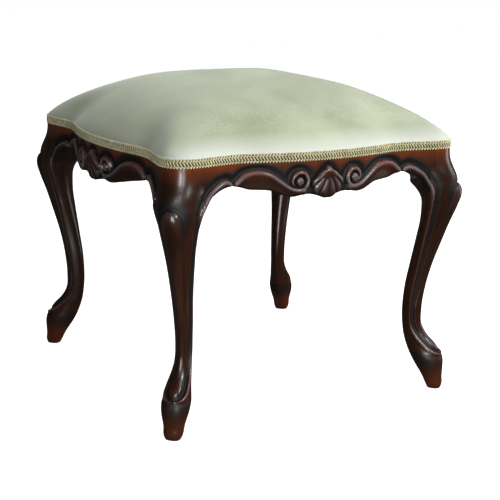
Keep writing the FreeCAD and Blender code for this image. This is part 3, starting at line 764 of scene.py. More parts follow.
def line_radius(angle, widest, line):
    """The radius of the seat line about the leg's widest point, and the angles of its points."""
    from_here = line - np.array([widest, 0])
    angles = np.arctan2(from_here[:, 1], from_here[:, 0])
    order = np.argsort(angles)
    return np.interp(angle, angles[order], np.linalg.norm(from_here, axis=1)[order]), angles


def post_radius(angle, widest, joint, line):
    """The radius of the leg's square post about the same point, out to the seat line."""
    limit, angles = line_radius(angle, widest, line)
    limit[(angle > angles.max()) | (angle < angles.min())] = FAR
    return np.minimum(limit, joint_limit(angle, widest, joint))


def corner_line(joint):
    """The seat line round a corner, seen by the leg: its nose along +X, from its foot's middle."""
    middle = halves() - FOOT_INSET
    line = seat_line(spacing=0.5)[0]
    offset = (line + middle)[(line < joint + 14 - middle).all(1)]
    return np.stack([-(offset[:, 0] + offset[:, 1]), offset[:, 0] - offset[:, 1]], 1) * ROOT_HALF


def leg_base(z, line, joint):
    """The leg's plain surface as rings of points, with each ring's angles."""
    columns = bpy.context.scene.pouf_frame.columns_per_leg
    even = np.linspace(-pi, pi, columns, endpoint=False)
    corner = line[abs(towards_joint(line) - joint).argmin()]
    angles = []
    radii = []
    for height, station in zip(z, smooth_rows(LEG_STATIONS, z)):
        widest = station[3]
        seen_from = smooth_rows(LEG_STATIONS, np.array([max(height, POST_STARTS)]))[0, 3]
        at_corner = np.arctan2(corner[1], corner[0] - seen_from)
        column = round(at_corner / (2 * pi) * columns) * 2 * pi / columns
        angle = np.sign(even) * np.interp(abs(even), (0, column, pi), (0, at_corner, pi))
        plain = section_radius(angle, *station)
        if height > POST_STARTS:
            post = post_radius(angle, widest, joint, line)
            union = POST_BLEND * np.logaddexp(plain / POST_BLEND, post / POST_BLEND)
            union -= POST_BLEND * np.log(2) * np.exp(-((plain - post) / POST_BLEND / 2) ** 2)
            grown = plain + (np.maximum(union, post) - plain) * ramp(height, *POST_GROWS)
            settled = grown + (post - grown) * ramp(height, POST_SETTLES, size("braid_foot") - 1)
            plain = np.minimum(settled, joint_limit(angle, widest, joint))
        angles.append(angle)
        radii.append(plain)
    return np.array(angles), np.array(radii)


def rings_at(base, angles, z, heights):
    """The rings nearest to some heights, each with its angles."""
    rows = np.round(np.interp(heights, z, np.arange(len(z)))).astype(int)
    return zip(base[rows], angles[rows])


def tongue_relief(base, angles, z, mirrored):
    """The tongue on the front of the leg, standing in its groove, with painted shade round it."""
    fine = np.linspace(TONGUE[0][0], TONGUE[-1][0], 540)
    edge = []
    limits = []
    halves_up = smooth_rows(TONGUE, fine)[:, 0]
    for height, half, (ring, ring_angles) in zip(fine, halves_up, rings_at(base, angles, z, fine)):
        ahead = (ring_angles >= 0) & (ring_angles < radians(88))
        limits.append(np.interp(half, ring[ahead, 1], ring_angles[ahead]))
        edge.append((np.interp(limits[-1], ring_angles, ring[:, 0]), half, height))
    gap = nearest(mirrored, smooth_path(edge, 0.9))[0]
    limit = np.interp(z, fine, limits, left=-1, right=-1)
    inside = (abs(angles) < limit[:, None]) & (z[:, None] > fine[0]) & (z[:, None] < fine[-1])
    signed = np.where(inside, -gap, gap)
    knob = ramp(z, 262, 312)[:, None]
    shaft = ramp(z, 76, 104)[:, None]
    above = ramp(z, 298, 322)[:, None]
    step = 0.9 + 0.7 * knob
    relief = step * (0.5 - 0.5 * np.tanh(signed / 1.0)) * (z < fine[-1] + 12)[:, None]
    relief += np.where(inside, (1.3 + 0.9 * knob) * (1 - hump(gap, 5.5)), 0)
    groove = hump(signed - 2.2, 2.4)
    relief -= size("leg_groove") * groove * (0.22 + 0.28 * knob)
    # Painted shade round the tongue, spreading far above its knob under the knee
    reach = 4.0 + 4.0 * knob + 17.0 * above
    shade = (0.12 + 0.10 * knob + 0.48 * above) * (1 - ramp(signed, 1.0, reach)) * (signed > -1.2)
    return relief * shaft, shade * shaft


def side_crest(base, angles, z, line, joint):
    """Where the ridge down a leg's side runs, from the leaf of the apron to the foot: its points,
    and the heights and angles of those on the leg."""
    leaf = smooth_path(LEAF_CREST)
    falling = leaf[leaf[:, 0] > 170][::-1]
    middle = DRAWN_JOINT + joint
    fine = np.linspace(SIDE_BEAD[0][0], np.interp(DRAWN_JOINT, leaf[:, 0], leaf[:, 1]), 560)
    crest = []
    limits = []
    bead_angles = smooth_rows(SIDE_BEAD, fine)[:, 0]
    for height, bead_angle, (ring, ring_angles) in zip(fine, bead_angles, rings_at(base, angles, z, fine)):
        half = (ring_angles > radians(20)) & (ring_angles < radians(150))
        across = middle - towards_joint(ring[half])
        wanted = np.interp(height, falling[:, 1], falling[:, 0])
        order = np.argsort(across)
        by_leaf = np.interp(wanted, across[order], ring_angles[half][order])
        angle = radians(bead_angle) + (by_leaf - radians(bead_angle)) * ramp(height, 294, 332)
        limits.append(angle)
        x, y = (np.interp(angle, ring_angles, ring[:, k]) for k in range(2))
        crest.append((x, y, height))
    inward = towards_joint(line)
    for across, height in leaf[(leaf[:, 0] < DRAWN_JOINT) & (leaf[:, 0] > DRAWN_JOINT - 12)][::-1]:
        x, y = line[abs(inward - (joint + DRAWN_JOINT - across)).argmin()]
        crest.append((x, y, height))
    return np.array(crest), fine, limits


def side_relief(base, angles, z, mirrored, line, joint):
    """The ridge down each side of the leg, which carries on the leaf of the aprons, with painted shade
    beside it and low on the foot, and a painted highlight along it.
    """
    crest, fine, limits = side_crest(base, angles, z, line, joint)
    gap = nearest(mirrored, crest)[0]
    signed = np.where(abs(angles) < np.interp(z, fine, limits)[:, None], gap, -gap)
    upper = ramp(z, 296, 336)[:, None]
    lower = (1 - ramp(z, 76, 112))[:, None]
    bead, groove = size("leg_bead"), size("leg_groove")
    heights = bead + (size("crest_height") - bead) * upper + 0.8 * lower
    low_width = np.interp(z, *BEAD_WIDTHS)[:, None]
    widths = low_width + (size("crest_width") - low_width) * upper
    grounds = groove + (size("ground_depth") - groove) * upper
    crest_part, cut = ridge(
        signed, widths, heights, FIELD_LEVEL * upper, grounds + 0.5 * lower, CREST_INSET * upper)
    cut = np.where(signed > 0, cut, cut * upper)
    narrow = 1 - ramp(signed, 5.0, 8.0) * (1 - upper) * (1 - lower)
    ends = ramp(z, 53, 57)[:, None] * (1 - ramp(z, 344, 352)[:, None])
    reach = 6.0 + 12.0 * upper + 4.0 * lower
    # Painted shade beside the ridge
    shade = (1 - ramp(signed - 0.6 * widths, 0.0, reach)) * ramp(signed, 0.3, 1.8)
    # Painted shade on the foot under the bead that rounds it
    below = ramp(z, 24, 46)[:, None] * (1 - ramp(z, 56, 60)[:, None])
    shade = shade * (0.75 + 0.25 * upper) * ends
    # A painted highlight along the ridge
    painted_highlight = hump(signed + 0.6 + 1.4 * upper, 2.6) * ends * (0.05 + 0.95 * np.maximum(upper ** 2, lower))
    return joined(crest_part, cut * narrow) * ends, np.maximum(shade, 0.45 * below), painted_highlight


def leg_grid():
    """The leg's rings with its relief, nose along +X, and the tone of each point."""
    joint, shoulder = size("joint_from_foot"), size("braid_foot")
    z = np.linspace(0, shoulder, bpy.context.scene.pouf_frame.rows_per_leg)
    z = np.concatenate([[0, 0.8, 1.8], z[z > 2.5]])
    widest = smooth_rows(LEG_STATIONS, z)[:, 3]
    line = corner_line(joint)
    angles, radius = leg_base(z, line, joint)
    base = np.stack([
        widest[:, None] + radius * np.cos(angles), radius * np.sin(angles),
        np.broadcast_to(z[:, None], radius.shape),
    ], -1)
    mirrored = base * np.array([1, 0, 1]) + abs(base) * np.array([0, 1, 0])
    relief, shade = tongue_relief(base, angles, z, mirrored)
    sides, side_shade, painted_highlight = side_relief(base, angles, z, mirrored, line, joint)
    relief = np.where(abs(sides) > abs(relief), sides, relief) * 0.75 + (sides + relief) * 0.25
    relief *= 1 - ramp(z, shoulder - 6, shoulder)[:, None]
    # The tone holds painted shade round the tongue and ridges and a painted highlight along the ridges,
    # besides glazing and rubbing from the relief
    tone = tone_of(relief, True, 0.22) - 0.5 * np.maximum(shade, side_shade) + 0.22 * painted_highlight

    along = np.roll(base, -1, 1) - np.roll(base, 1, 1)
    shaped = base + unit(np.cross(along, np.gradient(base, axis=0))) * relief[..., None]
    limit = joint_limit(angles, widest[:, None], joint)
    plane = (radius >= limit - ON_JOINT) & (z[:, None] > POST_STARTS)
    seat = np.array([line_radius(angle, middle, line)[0] for angle, middle in zip(angles, widest)])
    corner = plane & (abs(limit - seat) < 0.6)
    shaped = np.where((plane & ~corner)[..., None], base, shaped)
    shaped[..., 2] = np.clip(shaped[..., 2], 0, shoulder)
    shaped = kept_behind_joints(shaped, base, plane, joint)

    angle, middle = angles[-1], widest[-1]
    post, limit = post_radius(angle, middle, joint, line), joint_limit(angle, middle, joint)
    inset = np.where(post >= limit - ON_JOINT, post, np.minimum(post - REBATE, limit))
    plan = np.column_stack([middle + inset * np.cos(angle), inset * np.sin(angle)])
    upper = [at_height(plan, height) for height in (shoulder, size("frame_top"))]
    rings = np.concatenate([shaped, np.array(upper)])
    return rings, np.concatenate([np.clip(tone, 0, 1), np.full((2, len(angle)), 0.4)])


def kept_behind_joints(shaped, base, plane, joint):
    """Points on a joint stay in its plane, and no other point crosses it above the arch."""
    for side in (1, -1):
        past = towards_joint(shaped, side) - joint
        on_joint = plane & (abs(towards_joint(base, side) - joint) < 0.02)
        over = np.where(on_joint, past, np.maximum(past, 0))
        over = np.where(base[..., 2] > ARCH_TOP, over, 0)
        shaped[..., 0] += over * ROOT_HALF
        shaped[..., 1] -= side * over * ROOT_HALF
    return shaped


def make_legs(material):
    foot = halves() - FOOT_INSET
    rings, tones = leg_grid()
    for name, quarter_turns, sign_x, sign_y in (
        ("leg_front_left", 2.5, -1, -1), ("leg_front_right", 3.5, 1, -1),
        ("leg_back_right", 0.5, 1, 1), ("leg_back_left", 1.5, -1, 1),
    ):
        placed = turned_copy(rings, quarter_turns)
        placed += np.array([sign_x * foot[0], sign_y * foot[1], 0])
        piece = ring_solid(name + "_carved", placed)
        point_attribute(piece, "tone", tones)
        finish_mesh(piece, material)
        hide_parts(name)


# Seat

def crown_height(share):
    seat = bpy.context.scene.pouf_seat
    low = size("crown_start")
    rise = size("crown_height") - low
    return low + rise * (1 - share ** seat.crown_power) ** seat.crown_roundness


def crown_outline(line, share, power=5.0, fullness=1.03, run=0.4):
    """The seat line scaled towards the middle, where it blends into a rounded square."""
    reach = (abs(line / halves()) ** power).sum(1) ** (1 / power)
    blend = ramp((1 - share) / run, 0, 1)
    return line * (share * (1 + (fullness / reach - 1) * blend))[:, None]


def crown_ring(line, share, inside=0.0):
    """One ring of the crown, a depth inside its outer surface."""
    step = 0.001
    rise = crown_height(share - step) - crown_height(min(share + step, 0.99999))
    run = 2 * step * CROWN_RUN
    slant = np.hypot(run, rise)
    flat = crown_outline(line, share - inside * rise / slant / CROWN_RUN)
    return at_height(flat, crown_height(share) - inside * run / slant)


def crown_shares(count, first=0.9978, last=0.006):
    """Shares from the braid to the middle, closer together near the braid."""
    return 1 - (1 - first) - (first - last) * np.linspace(0, 1, count) ** 1.5


def make_cushion(material):
    """The velvet cover: a crowned shell drawn in to its skirt behind the braid. Where it faces left it gets
    painted shade."""
    line, out = seat_line(spacing=2.6)
    shoulder = size("braid_foot")
    braid_top = shoulder + size("braid_height")
    back = COVER_FACE + COVER_THICKNESS
    inner = [crown_ring(line, share, COVER_THICKNESS) for share in crown_shares(26, first=0.985)[::-1]]
    turn_in = rings_along(line, out, (
        (-back, size("frame_top") + 0.3), (-back, shoulder + 0.5), (-COVER_FACE, shoulder + 0.5),
        (-COVER_FACE, braid_top - 1.6), (-1.1, braid_top - 0.7), (-0.15, braid_top + 0.05),
    ))
    shares = crown_shares(88)
    outer = [crown_ring(line, share) for share in shares]
    rings = np.array(inner + turn_in + outer)
    piece = ring_solid("seat_cover", rings)
    # Painted shade on the faces towards the left, most on the crown
    faces_left = np.clip(-out[:, 0], 0, 1) ** 6
    faces_left *= 1 - np.clip(abs(line[:, 1]) / size("half_depth"), 0, 1) ** 4
    left_shade = np.zeros(rings.shape[:2])
    left_shade[-len(shares):] = shares[:, None] ** 4 * faces_left
    point_attribute(piece, "left_shade", left_shade)
    finish_mesh(piece, material, PADDED_CREASE)
    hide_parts("velvet_cover")


def make_fillings(foam_material, wadding_material):
    """The wadding under the cover and the foam pad inside it."""
    line = seat_line(spacing=6.0)[0]
    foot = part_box("seat_foam")[0].z / MM
    deep = WADDING_DEPTH + WADDING_THICKNESS

    def level(share):
        return at_height(crown_outline(line, share), foot)

    inner_shares = crown_shares(24, first=0.945)
    inner = [crown_ring(line, share, deep) for share in inner_shares[::-1]]
    outer = [crown_ring(line, share, WADDING_DEPTH) for share in crown_shares(30, first=0.965)]
    rings = inner + [level(0.948), level(0.966)] + outer
    piece = ring_solid("seat_wadding", np.array(rings))
    finish_mesh(piece, wadding_material, PADDED_CREASE)
    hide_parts("wadding")

    rings = [level(share) for share in (0.006, 0.3, 0.6, 0.8, 0.93, 0.944)]
    rings += [crown_ring(line, share, deep + FOAM_GAP) for share in inner_shares]
    piece = ring_solid("foam_pad", np.array(rings))
    finish_mesh(piece, foam_material, PADDED_CREASE)
    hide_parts("seat_foam")


# Cloths under the seat

def cloth_sheet(name, outline, z, sag, lip, material, node):
    """A thin cloth with an outline, sagging a little, its edge turned down by a lip."""
    low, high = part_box(node)
    thickness = max(high.z / MM - low.z / MM - lip, CLOTH_THICKNESS)
    shrink = 1 - thickness / abs(outline).max()

    def ring(share, height):
        return at_height(outline * share, height - sag * (1 - share ** 2))

    shares = np.array([0.004, 0.1, 0.2, 0.3, 0.4, 0.5, 0.6, 0.7, 0.8, 0.88, 0.95, 1.0])
    lower = [ring(share * (shrink if lip else 1), z - thickness) for share in shares]
    upper = [ring(share, z) for share in shares[::-1]]
    if lip:
        lower += [at_height(outline * shrink, z - lip), at_height(outline, z - lip)]
    piece = ring_solid(name, np.array(lower + upper))
    finish_mesh(piece, material, crease=40)
    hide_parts(node)


def notched_square(half_x, half_y, notch_x, notch_y, spacing=8.0):
    """A rectangle with its corners notched square, anticlockwise, as closely spaced points."""
    quarter = [(half_x, notch_y), (notch_x, notch_y), (notch_x, half_y)]
    corners = quarter + [(-x, y) for x, y in reversed(quarter)]
    corners += [(-x, -y) for x, y in quarter] + [(x, -y) for x, y in reversed(quarter)]
    points = []
    for a, b in zip(corners, corners[1:] + corners[:1]):
        a, b = np.array(a), np.array(b)
        steps = max(1, round(np.linalg.norm(b - a) / spacing))
        points += [a + (b - a) * step / steps for step in range(steps)]
    return np.array(points)


def strap_path(half_end, half_opening, index, over_first):
    """The middle of a strap's thickness: along it, and above the frame's top."""
    t = STRAP_THICKNESS
    fold = half_end - STRAP_FOLD
    bend = half_end - t / 2
    end = [(fold, 1.5 * t), (bend, 1.5 * t)]
    end += [(bend + t / 2 * sin(a), t + t / 2 * cos(a)) for a in np.radians((45, 90, 135))]
    end += [(bend, 0.5 * t), (half_opening, 0.5 * t)]
    path = [(-s, z) for s, z in end]
    reach = STRAP_WIDTH / 2 + 2
    for j, crossing in enumerate(STRAP_PLACES):
        over = (index + j) % 2 == (0 if over_first else 1)
        lift = 0.5 * t + (STRAP_LIFT if over else -STRAP_LIFT)
        path += [(crossing - reach, lift), (crossing, lift), (crossing + reach, lift)]
    return np.array(path + end[::-1])


def make_strap(node, place, path, turned, material):
    """One strap of ribbed webbing along its path."""
    middle = smooth_path(path, 6.0)
    along = unit(np.gradient(middle, axis=0))
    normal = np.stack([-along[:, 1], along[:, 0]], 1)
    across = np.linspace(-STRAP_WIDTH / 2, STRAP_WIDTH / 2, STRAP_CORDS)
    thick = STRAP_THICKNESS * 0.46 - CORD_SWELL + CORD_SWELL * (np.arange(STRAP_CORDS) % 2)
    rings = []
    for centre, up in zip(middle, normal):
        faces = []
        for side in (1, -1):
            x, z = centre[:, None] + side * up[:, None] * thick
            faces.append(np.column_stack([x, across, z])[::side])
        rings.append(np.vstack(faces))
    rings = np.array(rings) + np.array([0, place, size("frame_top")])
    if turned:
        rings = turned_copy(rings, 1)
    piece = ring_solid(node + "_strap", rings[::-1])
    finish_mesh(piece, material, crease=70)
    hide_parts(node)


def make_webbing(material):
    for i, place in enumerate(STRAP_PLACES):
        for way, half, turned in zip(("across", "along"), halves() - WAIST_SET_BACK, (False, True)):
            path = strap_path(half - STRAP_END_MARGIN, half - APRON_WAIST_THICKNESS, i, not turned)
            place_there = -place if turned else place
            make_strap("webbing_%s_%d" % (way, i + 1), place_there, path, turned, material)


def make_linings(hessian_material, dust_material):
    """The hessian over the webbing and the dust cover under the frame."""
    line = seat_line(-HESSIAN_MARGIN, spacing=6.0)[0]
    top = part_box("hessian")[1].z / MM
    cloth_sheet("hessian_cloth", line, top, 0, 0, hessian_material, "hessian")
    low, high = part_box("dust_cover")
    joints = halves() - FOOT_INSET - size("joint_from_foot")
    plan = notched_square(high.x / MM, high.y / MM, *(joints - DUST_COVER_GAP))
    lip = (high.z - low.z) / MM
    cloth_sheet("dust_cloth", plan, high.z / MM, DUST_COVER_SAG, lip, dust_material,
                "dust_cover")


# Shaders

class Nodes:
    """Builds a tree of nodes, from left to right."""

    def __init__(self, tree):
        self.tree = tree

    def put(self, socket, value):
        """Links an output to a socket, or sets the socket's value."""
        if isinstance(value, bpy.types.NodeSocket):
            self.tree.links.new(value, socket)
        else:
            socket.default_value = value

    def feed(self, node, **inputs):
        """Links or sets the inputs of a node by their names."""
        for name, value in inputs.items():
            self.put(node.inputs[name.replace("_", " ")], value)
        return node

    def node(self, kind, **inputs):
        return self.feed(self.tree.nodes.new(kind), **inputs)

    def result(self, kind, operation, *values):
        """The first output of a node whose inputs are given in their order."""
        node = self.tree.nodes.new(kind)
        if operation:
            node.operation = operation
        for socket, value in zip(node.inputs, values):
            self.put(socket, value)
        return node.outputs[0]

    def maths(self, operation, a, b=0.0):
        return self.result("ShaderNodeMath", operation, a, b)

    def plus(self, value, other, share):
        """A value plus a share of another one."""
        return self.maths("ADD", value, self.maths("MULTIPLY", other, share))

    def mix(self, factor, a, b):
        node = self.tree.nodes.new("ShaderNodeMix")
        node.data_type = "RGBA"
        for index, value in ((0, factor), (6, colour(a)), (7, colour(b))):
            self.put(node.inputs[index], value)
        return node.outputs[2]

    def remap(self, value, low, high, to_low=0.0, to_high=1.0):
        return self.result("ShaderNodeMapRange", None, value, low, high, to_low, to_high)

    def place(self, scale=(1, 1, 1)):
        """Object coordinates, stretched."""
        coordinates = self.node("ShaderNodeTexCoord").outputs["Object"]
        return self.node("ShaderNodeMapping", Vector=coordinates, Scale=scale).outputs["Vector"]

    def axis(self, vector, name):
        return self.node("ShaderNodeSeparateXYZ", Vector=vector).outputs[name]

    def noise(self, vector, detail=3.0, roughness=0.55, distortion=0.0):
        node = self.node("ShaderNodeTexNoise", Vector=vector, Scale=1.0, Detail=detail,
                         Roughness=roughness, Distortion=distortion)
        return node.outputs["Fac"]

    def attribute(self, name):
        node = self.tree.nodes.new("ShaderNodeAttribute")
        node.attribute_name = name
        return node.outputs["Fac"]

    def effect(self, build, **inputs):
        """The outputs of a shared effect, which is built the first time that it is asked for."""
        node = self.tree.nodes.new("ShaderNodeGroup")
        node.node_tree = bpy.data.node_groups.get(build.__name__) or build(build.__name__)
        return list(self.feed(node, Place=self.place(), **inputs).outputs)


class Effect(Nodes):
    """A node group that several materials share: it reads a place and puts out values."""

    def __init__(self, name, stretches, outputs):
        super().__init__(bpy.data.node_groups.new(name, "ShaderNodeTree"))
        for socket in ("Place", *stretches):
            self.tree.interface.new_socket(socket, in_out="INPUT", socket_type="NodeSocketVector")
        for socket in outputs:
            self.tree.interface.new_socket(socket, in_out="OUTPUT", socket_type="NodeSocketFloat")
        self.start = self.node("NodeGroupInput")
        self.end = self.node("NodeGroupOutput")

    def stretched(self, name, share=1.0):
        """The place, multiplied by a share of one of the group's stretches."""
        place, stretch = self.start.outputs["Place"], self.start.outputs[name]
        stretched = self.result("ShaderNodeVectorMath", "MULTIPLY", place, stretch)
        return self.result("ShaderNodeVectorMath", "MULTIPLY", stretched, (share, share, share))

    def finish(self, **values):
        self.feed(self.end, **values)
        return self.tree


class Shader(Nodes):
    """Builds one material."""

    def __init__(self, name):
        self.material = bpy.data.materials.new(name)
        self.material.use_nodes = True
        super().__init__(self.material.node_tree)
        self.surface = self.tree.nodes["Principled BSDF"]

    def bump(self, height, strength, distance):
        node = self.node("ShaderNodeBump", Strength=strength, Distance=distance, Height=height)
        self.set(Normal=node.outputs["Normal"])

    def set(self, **inputs):
        self.feed(self.surface, **inputs)


def colour(value):
    """A colour with its alpha, or a socket as it is."""
    if isinstance(value, bpy.types.NodeSocket):
        return value
    return (*value, 1.0)


def darker(shade, share):
    return tuple(share * part for part in shade)


def wood_grain(name):
    s = Effect(name, ("Grain Stretch", "Pore Stretch"), ("Grain", "Pores"))
    grain = s.noise(s.stretched("Grain Stretch"), 6.0, 0.62, 0.6)
    return s.finish(Grain=grain, Pores=s.noise(s.stretched("Pore Stretch"), 2.0, 0.6))


def thread_weave(name):
    s = Effect(name, ("Threads",), ("Weave", "Uneven"))
    threads = s.stretched("Threads")
    waves = [s.maths("SINE", s.maths("MULTIPLY", s.axis(threads, axis), 2 * pi)) for axis in ("X", "Y")]
    weave = s.remap(s.maths("MULTIPLY", *waves), -1.0, 1.0)
    return s.finish(Weave=weave, Uneven=s.noise(s.stretched("Threads", 1 / 3)))


def mottling(name):
    s = Effect(name, ("Stretch",), ("Mottle",))
    return s.finish(Mottle=s.noise(s.stretched("Stretch")))


def mahogany():
    """Dark polish: glazing and painted shade nearly black in the hollows, rubbing and painted highlights on
    the crests.
    """
    tints = bpy.context.scene.pouf_colours
    s = Shader("mahogany_polish")
    grain, pores = s.effect(wood_grain, Grain_Stretch=(26, 26, 3.2), Pore_Stretch=(240, 240, 14))
    patches, = s.effect(mottling, Stretch=(9, 9, 7))
    # The tone attribute carries painted shade and painted highlights; the patches carry random wear
    painted_light_and_wear = s.plus(s.attribute("tone"), s.maths("SUBTRACT", patches, 0.5), 0.30)
    rubbed_and_highlighted = s.remap(painted_light_and_wear, 0.52, 0.86)
    glazed_and_shaded = s.remap(painted_light_and_wear, 0.50, 0.16)
    level = s.plus(s.axis(s.place(), "Z"), patches, 0.02)
    base = s.mix(s.remap(grain, 0.36, 0.66), tints.wood_body, darker(tints.wood_body, 0.5))
    crest = s.mix(s.remap(level, 0.30, 0.345, 0.4, 1.0), tints.wood_foot, tints.wood_crest)
    # Rubbing and painted highlight on the crests
    base = s.mix(rubbed_and_highlighted, base, crest)
    base = s.mix(s.remap(level, 0.368, 0.392, 0.0, 0.8), base, tints.wood_frieze)
    foot = s.mix(grain, tints.wood_foot, tints.wood_body)
    base = s.mix(s.remap(level, 0.085, 0.012, 0.0, 0.9), base, foot)
    # Glazing and painted shade in the hollows
    base = s.mix(glazed_and_shaded, base, tints.wood_recess)
    base = s.mix(s.remap(pores, 0.30, 0.42, 0.35, 0.0), base, tints.wood_recess)
    s.set(Base_Color=base, Roughness=s.remap(s.plus(glazed_and_shaded, patches, 0.2), 0.0, 1.0, 0.26, 0.58))
    s.set(Coat_Weight=s.remap(glazed_and_shaded, 0.0, 0.8, 0.32, 0.0), Coat_Roughness=0.20)
    s.set(IOR=1.45, Specular_IOR_Level=0.30)
    s.bump(pores, 0.03, 0.0004)
    return s.material


def velvet():
    """Cut pile: pale where it leans to the light, with a painted silvery sheen where it turns down to the
    braid and painted shade on the left faces.
    """
    tints = bpy.context.scene.pouf_colours
    s = Shader("velvet_pile")
    speckle = s.noise(s.place((900, 900, 900)), 2.0, 0.6)
    streaks = s.noise(s.place((520, 520, 26)), 3.0, 0.6)
    brushed = s.noise(s.place((6, 6, 9)), 3.0, 0.5, 0.4)
    lean = s.plus(s.plus(s.maths("MULTIPLY", streaks, 0.30), brushed, 0.75), speckle, 0.22)
    level = s.plus(s.plus(s.axis(s.place(), "Z"), streaks, 0.014), brushed, 0.016)
    base = s.mix(s.remap(lean, 0.45, 0.85), tints.velvet_deep, tints.velvet_pale)
    # Painted sheen, strongest low on the cushion near the braid
    base = s.mix(s.remap(level, 0.436, 0.408, 0.0, 0.85), base, tints.velvet_silver)
    # Painted shade on the left faces of the cushion
    base = s.mix(s.maths("MULTIPLY", s.attribute("left_shade"), 0.8), base, tints.velvet_deep)
    s.set(Base_Color=base, Roughness=0.85, Specular_IOR_Level=0.12)
    s.set(Sheen_Weight=0.45, Sheen_Roughness=0.4, Sheen_Tint=(0.96, 1.0, 0.95, 1.0))
    s.bump(s.maths("ADD", speckle, streaks), 0.25, 0.0005)
    return s.material


def braid_yarn(name, shade, dark):
    """Twisted yarn in one shade, with darker fibres."""
    s = Shader(name)
    fibres, = s.effect(mottling, Stretch=(1500, 1500, 1500))
    patches, = s.effect(mottling, Stretch=(90, 90, 160))
    base = s.mix(s.remap(patches, 0.35, 0.65, 0.0, 0.35), shade, dark)
    base = s.mix(s.remap(fibres, 0.3, 0.5, 0.45, 0.0), base, darker(dark, 0.4))
    s.set(Base_Color=base, Roughness=0.72, Sheen_Weight=0.2, Sheen_Roughness=0.5)
    s.bump(fibres, 0.4, 0.0003)
    return s.material


def woven(name, shade, dark, threads):
    """A plain weave: threads over and under each other, in one shade and a darker one."""
    s = Shader(name)
    weave, uneven = s.effect(thread_weave, Threads=(threads, threads, threads))
    mixed = s.plus(s.maths("MULTIPLY", weave, 0.6), uneven, 0.5)
    s.set(Base_Color=s.mix(s.remap(mixed, 0.25, 0.75), dark, shade), Roughness=0.85)
    s.bump(weave, 0.5, 0.0004)
    return s.material


def plain(name, shade, roughness, metallic=0.0, scale=30.0):
    """A plain finish with a little unevenness in its shade."""
    s = Shader(name)
    noise, = s.effect(mottling, Stretch=(scale, scale, scale))
    base = s.mix(s.remap(noise, 0.3, 0.7), darker(shade, 0.76), shade)
    s.set(Base_Color=base, Roughness=roughness, Metallic=metallic)
    return s.material


def beech():
    """Raw beech darkened with painted shade, with fine flecks."""
    s = Shader("raw_beech")
    grain, flecks = s.effect(wood_grain, Grain_Stretch=(40, 40, 300), Pore_Stretch=(700, 700, 90))
    # Colours darkened as painted shade for blocks seen in the dark under the frame
    base = s.mix(s.remap(grain, 0.35, 0.65), (0.050, 0.024, 0.012), (0.085, 0.042, 0.021))
    base = s.mix(s.remap(flecks, 0.60, 0.70, 0.0, 0.5), base, (0.030, 0.015, 0.008))
    s.set(Base_Color=base, Roughness=0.62)
    s.bump(grain, 0.1, 0.0003)
    return s.material


def pale_floor():
    """A white floor that glows for the camera, and that is clear when it is seen from below."""
    s = Shader("pale_floor")
    glow = s.maths("MULTIPLY", s.node("ShaderNodeLightPath").outputs["Is Camera Ray"], 0.95)
    s.set(Base_Color=(0.60, 0.60, 0.60, 1.0), Roughness=0.95, Specular_IOR_Level=0.0)
    s.set(Emission_Color=(1, 1, 1, 1), Emission_Strength=glow)
    from_below = s.node("ShaderNodeNewGeometry").outputs["Backfacing"]
    clear = s.node("ShaderNodeBsdfTransparent").outputs["BSDF"]
    shader = s.result("ShaderNodeMixShader", None, from_below, s.surface.outputs["BSDF"], clear)
    s.feed(s.tree.nodes["Material Output"], Surface=shader)
    return s.material


# Braid

def braid_tree(material):
    """Strands of the braid, repeated along a curve: herringbone rows with looped edges."""
    n = Nodes(bpy.data.node_groups.new("braid_rows", "GeometryNodeTree"))
    units = ("Pitch", "Strand Radius", "Height")
    n.tree.interface.new_socket("Line", in_out="INPUT", socket_type="NodeSocketGeometry")
    for name in units:
        n.tree.interface.new_socket(name, in_out="INPUT", socket_type="NodeSocketFloat")
    n.tree.interface.new_socket("Braid", in_out="OUTPUT", socket_type="NodeSocketGeometry")
    start = n.node("NodeGroupInput").outputs
    end = n.node("NodeGroupOutput")
    join = n.node("GeometryNodeJoinGeometry")
    profile = n.node("GeometryNodeCurvePrimitiveCircle", Resolution=5, Radius=start["Strand Radius"])

    for steps, *strand in BRAID_STRANDS:
        bend = n.node("GeometryNodeCurveQuadraticBezier", Resolution=steps)
        for name, shares in zip(("Start", "Middle", "End"), strand):
            parts = [n.maths("MULTIPLY", start[unit], share) for unit, share in zip(units, shares)]
            n.put(bend.inputs[name], n.result("ShaderNodeCombineXYZ", None, *parts))
        tube = n.node("GeometryNodeCurveToMesh", Curve=bend.outputs["Curve"],
                      Profile_Curve=profile.outputs["Curve"], Fill_Caps=True)
        n.feed(join, Geometry=tube.outputs["Mesh"])

    curve = n.node("GeometryNodeMeshToCurve", Mesh=start["Line"])
    points = n.node("GeometryNodeCurveToPoints")
    points.mode = "LENGTH"
    n.feed(points, Curve=curve.outputs["Curve"], Length=start["Pitch"])
    aim = n.node("FunctionNodeAlignRotationToVector", Vector=points.outputs["Tangent"])
    aim.axis = "X"
    aim.pivot_axis = "Z"
    repeat = n.node("GeometryNodeInstanceOnPoints", Points=points.outputs["Points"],
                    Instance=join.outputs["Geometry"], Rotation=aim.outputs["Rotation"])
    real = n.node("GeometryNodeRealizeInstances", Geometry=repeat.outputs["Instances"])
    finish = n.node("GeometryNodeSetMaterial", Geometry=real.outputs["Geometry"], Material=material)
    n.feed(end, Braid=finish.outputs["Geometry"])
    return n.tree


